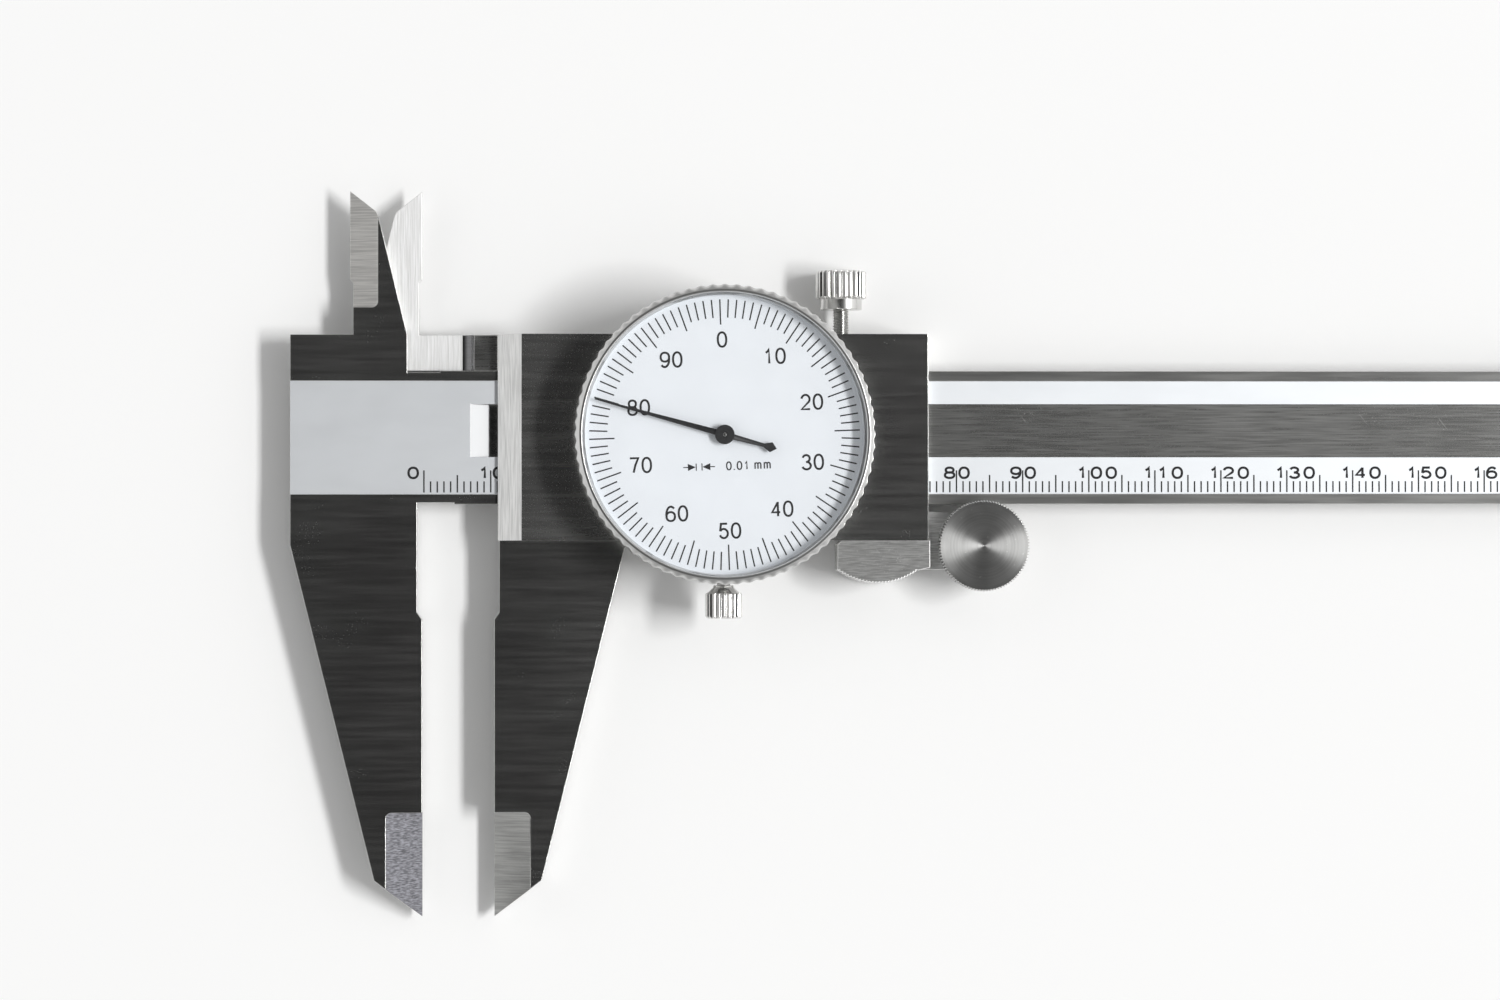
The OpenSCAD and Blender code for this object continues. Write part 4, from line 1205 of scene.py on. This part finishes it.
@dataclass
class ThumbRoller:
    """The roller that rides on the beam's edge, with a faced front and a fine knurl."""

    bench: Bench
    centre: Point = (103.9, -16.3)
    drum_r: float = 6.25
    disc_r: float = 6.85
    bore_r: float = 1.55
    drum_z: float = 1.5
    disc_z: float = 4.4
    top_z: float = 7.0
    wall: float = 0.75
    edge: float = 0.14
    teeth: int = 96
    steps: int = 8

    def build(self) -> None:
        """Turns the roller, cuts its knurl and puts it in place."""
        edge, face_z, bore_z = self.edge, self.top_z - 0.02, self.top_z - self.wall
        profile = [
            (0.0, bore_z),
            (self.bore_r, bore_z),
            (self.bore_r, self.drum_z),
            (self.drum_r, self.drum_z),
            (self.drum_r, self.disc_z),
            (self.disc_r - edge, self.disc_z),
            (self.disc_r, self.disc_z + edge),
            (self.disc_r, self.top_z - edge),
            (self.disc_r - edge, face_z),
            (self.disc_r - edge - 0.22, face_z),
            (self.disc_r * 0.55, face_z),
            (0.06, face_z),
            (0.0, self.top_z - 0.05),
        ]
        turned = lathe(eased(profile, 0.05, closed=False), self.teeth * self.steps)
        flutes = RimFlutes(
            count=self.teeth,
            depth=0.24,
            narrow=0.8,
            low=self.disc_z + edge,
            high=self.top_z - edge,
            ease_low=edge,
            ease_high=0.3,
            core=self.disc_r - edge - 0.1,
        )
        finish = TurnedSteel("turned_roller", (0.54, 0.54, 0.53), 0.33, self.centre, 0.81)
        mesh = flutes.run(turned, finish)
        mesh.transform(shift(*self.centre))
        self.bench.piece("roller_turned", mesh, "roller", ["thumb_roller"], "bright_steel")


@dataclass
class KnurledScrew:
    """A screw with a straight-knurled head, turned about its own axis along Z."""

    bench: Bench
    node: str
    profile: Profile
    grip: RimFlutes
    place: Matrix
    thread: ScrewThread | None = None
    thread_at: float = 0.0
    segments: int = 480
    easing: float = 0.12

    def build(self) -> None:
        """Turns the screw, cuts its flutes, adds its thread and puts it in place."""
        turned = lathe(eased(self.profile, self.easing, closed=False), self.segments)
        mesh = self.grip.run(turned, NICKEL)
        mesh.transform(self.place)
        self.bench.piece(f"{self.node}_turned", mesh, self.node, [self.node], "bright_steel")
        if self.thread:
            ridge = self.thread.run(None, THREAD_STEEL)
            ridge.transform(self.place @ shift(0.0, 0.0, self.thread_at))
            self.bench.piece(f"{self.node}_thread", ridge, self.node)


def lock_screw(bench: Bench) -> KnurledScrew:
    """Returns the lock screw on the slider's top edge, with its thread showing."""
    foot, collar, head, top = 12.82, 19.3, 20.9, 25.2
    stem_r, collar_r, head_r = 0.98, 3.17, 3.8
    profile = [
        (0.0, foot),
        (stem_r, foot),
        (stem_r, collar),
        (collar_r, collar),
        (collar_r, head - 0.02),
        (3.5, head),
        (head_r, head + 0.2),
        (head_r, top - 0.3),
        (3.45, top - 0.02),
        (2.6, top - 0.02),
        (2.45, top - 0.2),
        (0.0, top - 0.2),
    ]
    grip = RimFlutes(
        count=26,
        depth=0.34,
        narrow=1.6,
        low=head + 0.1,
        high=top - 0.3,
        ease_low=0.1,
        ease_high=0.3,
        core=3.3,
    )
    thread = ScrewThread(turns=15.75, pitch=0.4, radius=1.0, ridge=0.2)
    place = shift(82.7, 0.0, 2.0) @ Matrix.Rotation(-QUARTER, 4, "X")
    return KnurledScrew(bench, "lock_screw", profile, grip, place, thread, foot + 0.2)


def clamp_screw(bench: Bench) -> KnurledScrew:
    """Returns the bezel clamp's screw under the dial."""
    foot, neck, cone, head, top = 21.3, 22.2, 22.5, 23.3, 27.15
    stem_r, neck_r, head_r = 1.0, 1.55, 2.725
    profile = [
        (0.0, foot),
        (stem_r, foot),
        (stem_r, neck),
        (neck_r, neck),
        (neck_r, cone),
        (2.35, head - 0.05),
        (head_r, head + 0.15),
        (head_r, top - 0.3),
        (2.4, top),
        (0.0, top),
    ]
    grip = RimFlutes(
        count=20,
        depth=0.32,
        narrow=1.6,
        low=head + 0.15,
        high=top - 0.3,
        ease_low=0.1,
        ease_high=0.25,
        core=2.38,
    )
    place = shift(64.8, 0.0, 7.0) @ Matrix.Rotation(QUARTER, 4, "X")
    return KnurledScrew(bench, "clamp_screw", profile, grip, place)


@dataclass
class DialHead:
    """The bezel, dial plate, print, crystal and pointer."""

    bench: Bench
    centre: Point = (64.8, 0.2)
    scallops: int = 76
    scallop_steps: int = 12
    scallop_depth: float = 0.22
    rim_r: float = 22.3
    peak_r: float = 21.55
    inner_r: float = 21.2
    window_r: float = 21.05
    seat_r: float = 21.2
    bore_r: float = 20.05
    foot_r: float = 20.55
    foot_z: float = 7.3
    skirt_z: float = 8.65
    dial_z: float = 11.9
    print_z: float = 12.3
    rivet_z: Point = (13.44, 13.5)
    glass_z: float = 14.6
    top_z: float = 14.95
    turn: float = 2.0
    line_outer: float = 20.1
    figure_at: tuple[Point, ...] = (
        (14.13, 91.5),
        (13.83, 57.6),
        (13.85, 20.6),
        (13.7, -17.3),
        (13.94, -52.3),
        (14.29, -86.9),
        (13.71, -121.2),
        (13.27, -160.0),
        (13.37, 162.5),
        (13.66, 125.5),
    )
    words_at: Point = (3.4, -4.66)
    arrow_at: Point = (-3.95, -4.68)
    figures: Lettering = Lettering(2.44, 1.56, 0.31, 0.27)
    words: Lettering = Lettering(1.34, 0.84, 0.19, 0.2)

    def bezel(self) -> None:
        """Turns the bezel and cuts its scallops."""
        profile = [
            (self.bore_r, self.foot_z),
            (self.foot_r, self.foot_z),
            (self.foot_r, self.skirt_z),
            (self.rim_r - 0.5, self.skirt_z),
            (self.rim_r, self.skirt_z + 0.4),
            (self.rim_r, self.top_z - 0.7),
            (self.rim_r - 0.08, self.top_z - 0.5),
            (self.peak_r, self.top_z - 0.04),
            (self.inner_r, self.top_z - 0.03),
            (self.window_r, self.glass_z + 0.12),
            (self.window_r, self.glass_z),
            (self.seat_r, self.glass_z),
            (self.seat_r, self.dial_z),
            (self.bore_r, self.dial_z),
        ]
        turned = lathe(eased(profile, 0.06), self.scallops * self.scallop_steps)
        flutes = RimFlutes(
            count=self.scallops,
            depth=self.scallop_depth,
            narrow=1.0,
            low=self.skirt_z + 0.3,
            high=self.top_z - 0.65,
            ease_low=0.3,
            ease_high=0.55,
            core=self.seat_r + 0.1,
        )
        mesh = flutes.run(turned, BEZEL_SATIN)
        mesh.transform(shift(*self.centre))
        self.bench.piece("bezel_scalloped", mesh, "bezel", ["bezel_ring"], "satin_chrome")

    def arrow_sign(self) -> list[bpy.types.Mesh]:
        """Prints two arrows that meet at two bars, the plain sign for one division."""
        outlines = [
            [(0.36, -0.52), (0.5, -0.52), (0.5, 0.52), (0.36, 0.52)],
            [(0.5, 0.0), (1.66, -0.52), (1.66, 0.52)],
            [(1.66, -0.07), (2.35, -0.07), (2.35, 0.07), (1.66, 0.07)],
        ]
        across, up = self.arrow_at
        made = []
        for side in (-1.0, 1.0):
            for outline in outlines:
                work = bmesh.new()
                spots = [(across + side * x, up + y, self.print_z) for x, y in outline]
                work.faces.new([work.verts.new([part * MM for part in spot]) for spot in spots])
                made.append(raised(work, self.figures.INK, "mark"))
        return made

    def print(self) -> None:
        """Prints the divisions and the plain figures, turned a little with the bezel."""
        lines = DialLines(
            count=100,
            outer=self.line_outer,
            width=0.2,
            short=2.7,
            long=3.75,
            ink=0.03,
            turn=QUARTER,
        )
        ring = lines.run(None, INK)
        ring.transform(shift(0.0, 0.0, self.print_z))
        parts = [ring]
        for step, (radius, heading) in enumerate(self.figure_at):
            x, y = polar(radius, math.radians(heading - self.turn))
            parts.append(self.figures.mesh(str(10 * step), x, y, self.print_z))
        parts.append(self.words.mesh("0.01 mm", *self.words_at, self.print_z))
        parts += self.arrow_sign()
        mesh = joined("dial_print", parts, INK)
        mesh.transform(shift(*self.centre) @ Matrix.Rotation(math.radians(self.turn), 4, "Z"))
        self.bench.piece("dial_print", mesh, "bezel")

    def rivet(self) -> None:
        """Sets the small bright end of the arbor into the pointer's hub."""
        low, high = self.rivet_z
        mesh = lathe([(0.0, low), (0.28, low), (0.24, high - 0.02), (0.12, high), (0.0, high)], 32)
        mesh.transform(shift(*self.centre))
        mesh.materials.append(NICKEL.material())
        self.bench.piece("pointer_rivet", mesh, "pointer_shaft")

    def build(self) -> None:
        """Builds and dresses the dial's pieces."""
        self.bezel()
        self.print()
        self.bench.dress(ENAMEL, "dial_plate")
        self.bench.dress(SPACER, "dial_spacer")
        self.bench.dress(PLAIN_STEEL, "dial_case", "dial_case_screws")
        self.bench.dress(CRYSTAL, "crystal")
        self.bench.copy_of("pointer", "pointer_shaft", LACQUER, bevel=0.04)
        self.bench.dress(LACQUER, "pointer_arbor")
        self.rivet()


def movement(bench: Bench) -> None:
    """Dresses the pieces inside the dial case, and the lock's and clamp's pads."""
    bench.dress(BLUED, "take_up_spring")
    bench.dress(BRASS, "main_gear", "take_up_gear", "pinion_bush", "centre_bush")
    bench.dress(BRASS, "movement_bridge", "bridge_pillars", "lock_pad", "clamp_shoe")
    bench.dress(PLAIN_STEEL, "pinion_arbor", "bridge_screws", "bezel_spring_ring")


def main() -> None:
    """Builds the caliper's looks around its frame."""
    logging.basicConfig(level=logging.INFO, format="%(message)s")
    for leftover in list(bpy.data.objects):
        bpy.data.objects.remove(leftover)
    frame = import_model()
    bench = Bench(frame["nodes"])
    Studio().build()
    Beam(bench).build()
    Slider(bench).build()
    ThumbRoller(bench).build()
    lock_screw(bench).build()
    clamp_screw(bench).build()
    DialHead(bench).build()
    movement(bench)
    for name in bench.undressed():
        LOG.warning("%s has no finish", name)


if __name__ == "__main__":
    main()
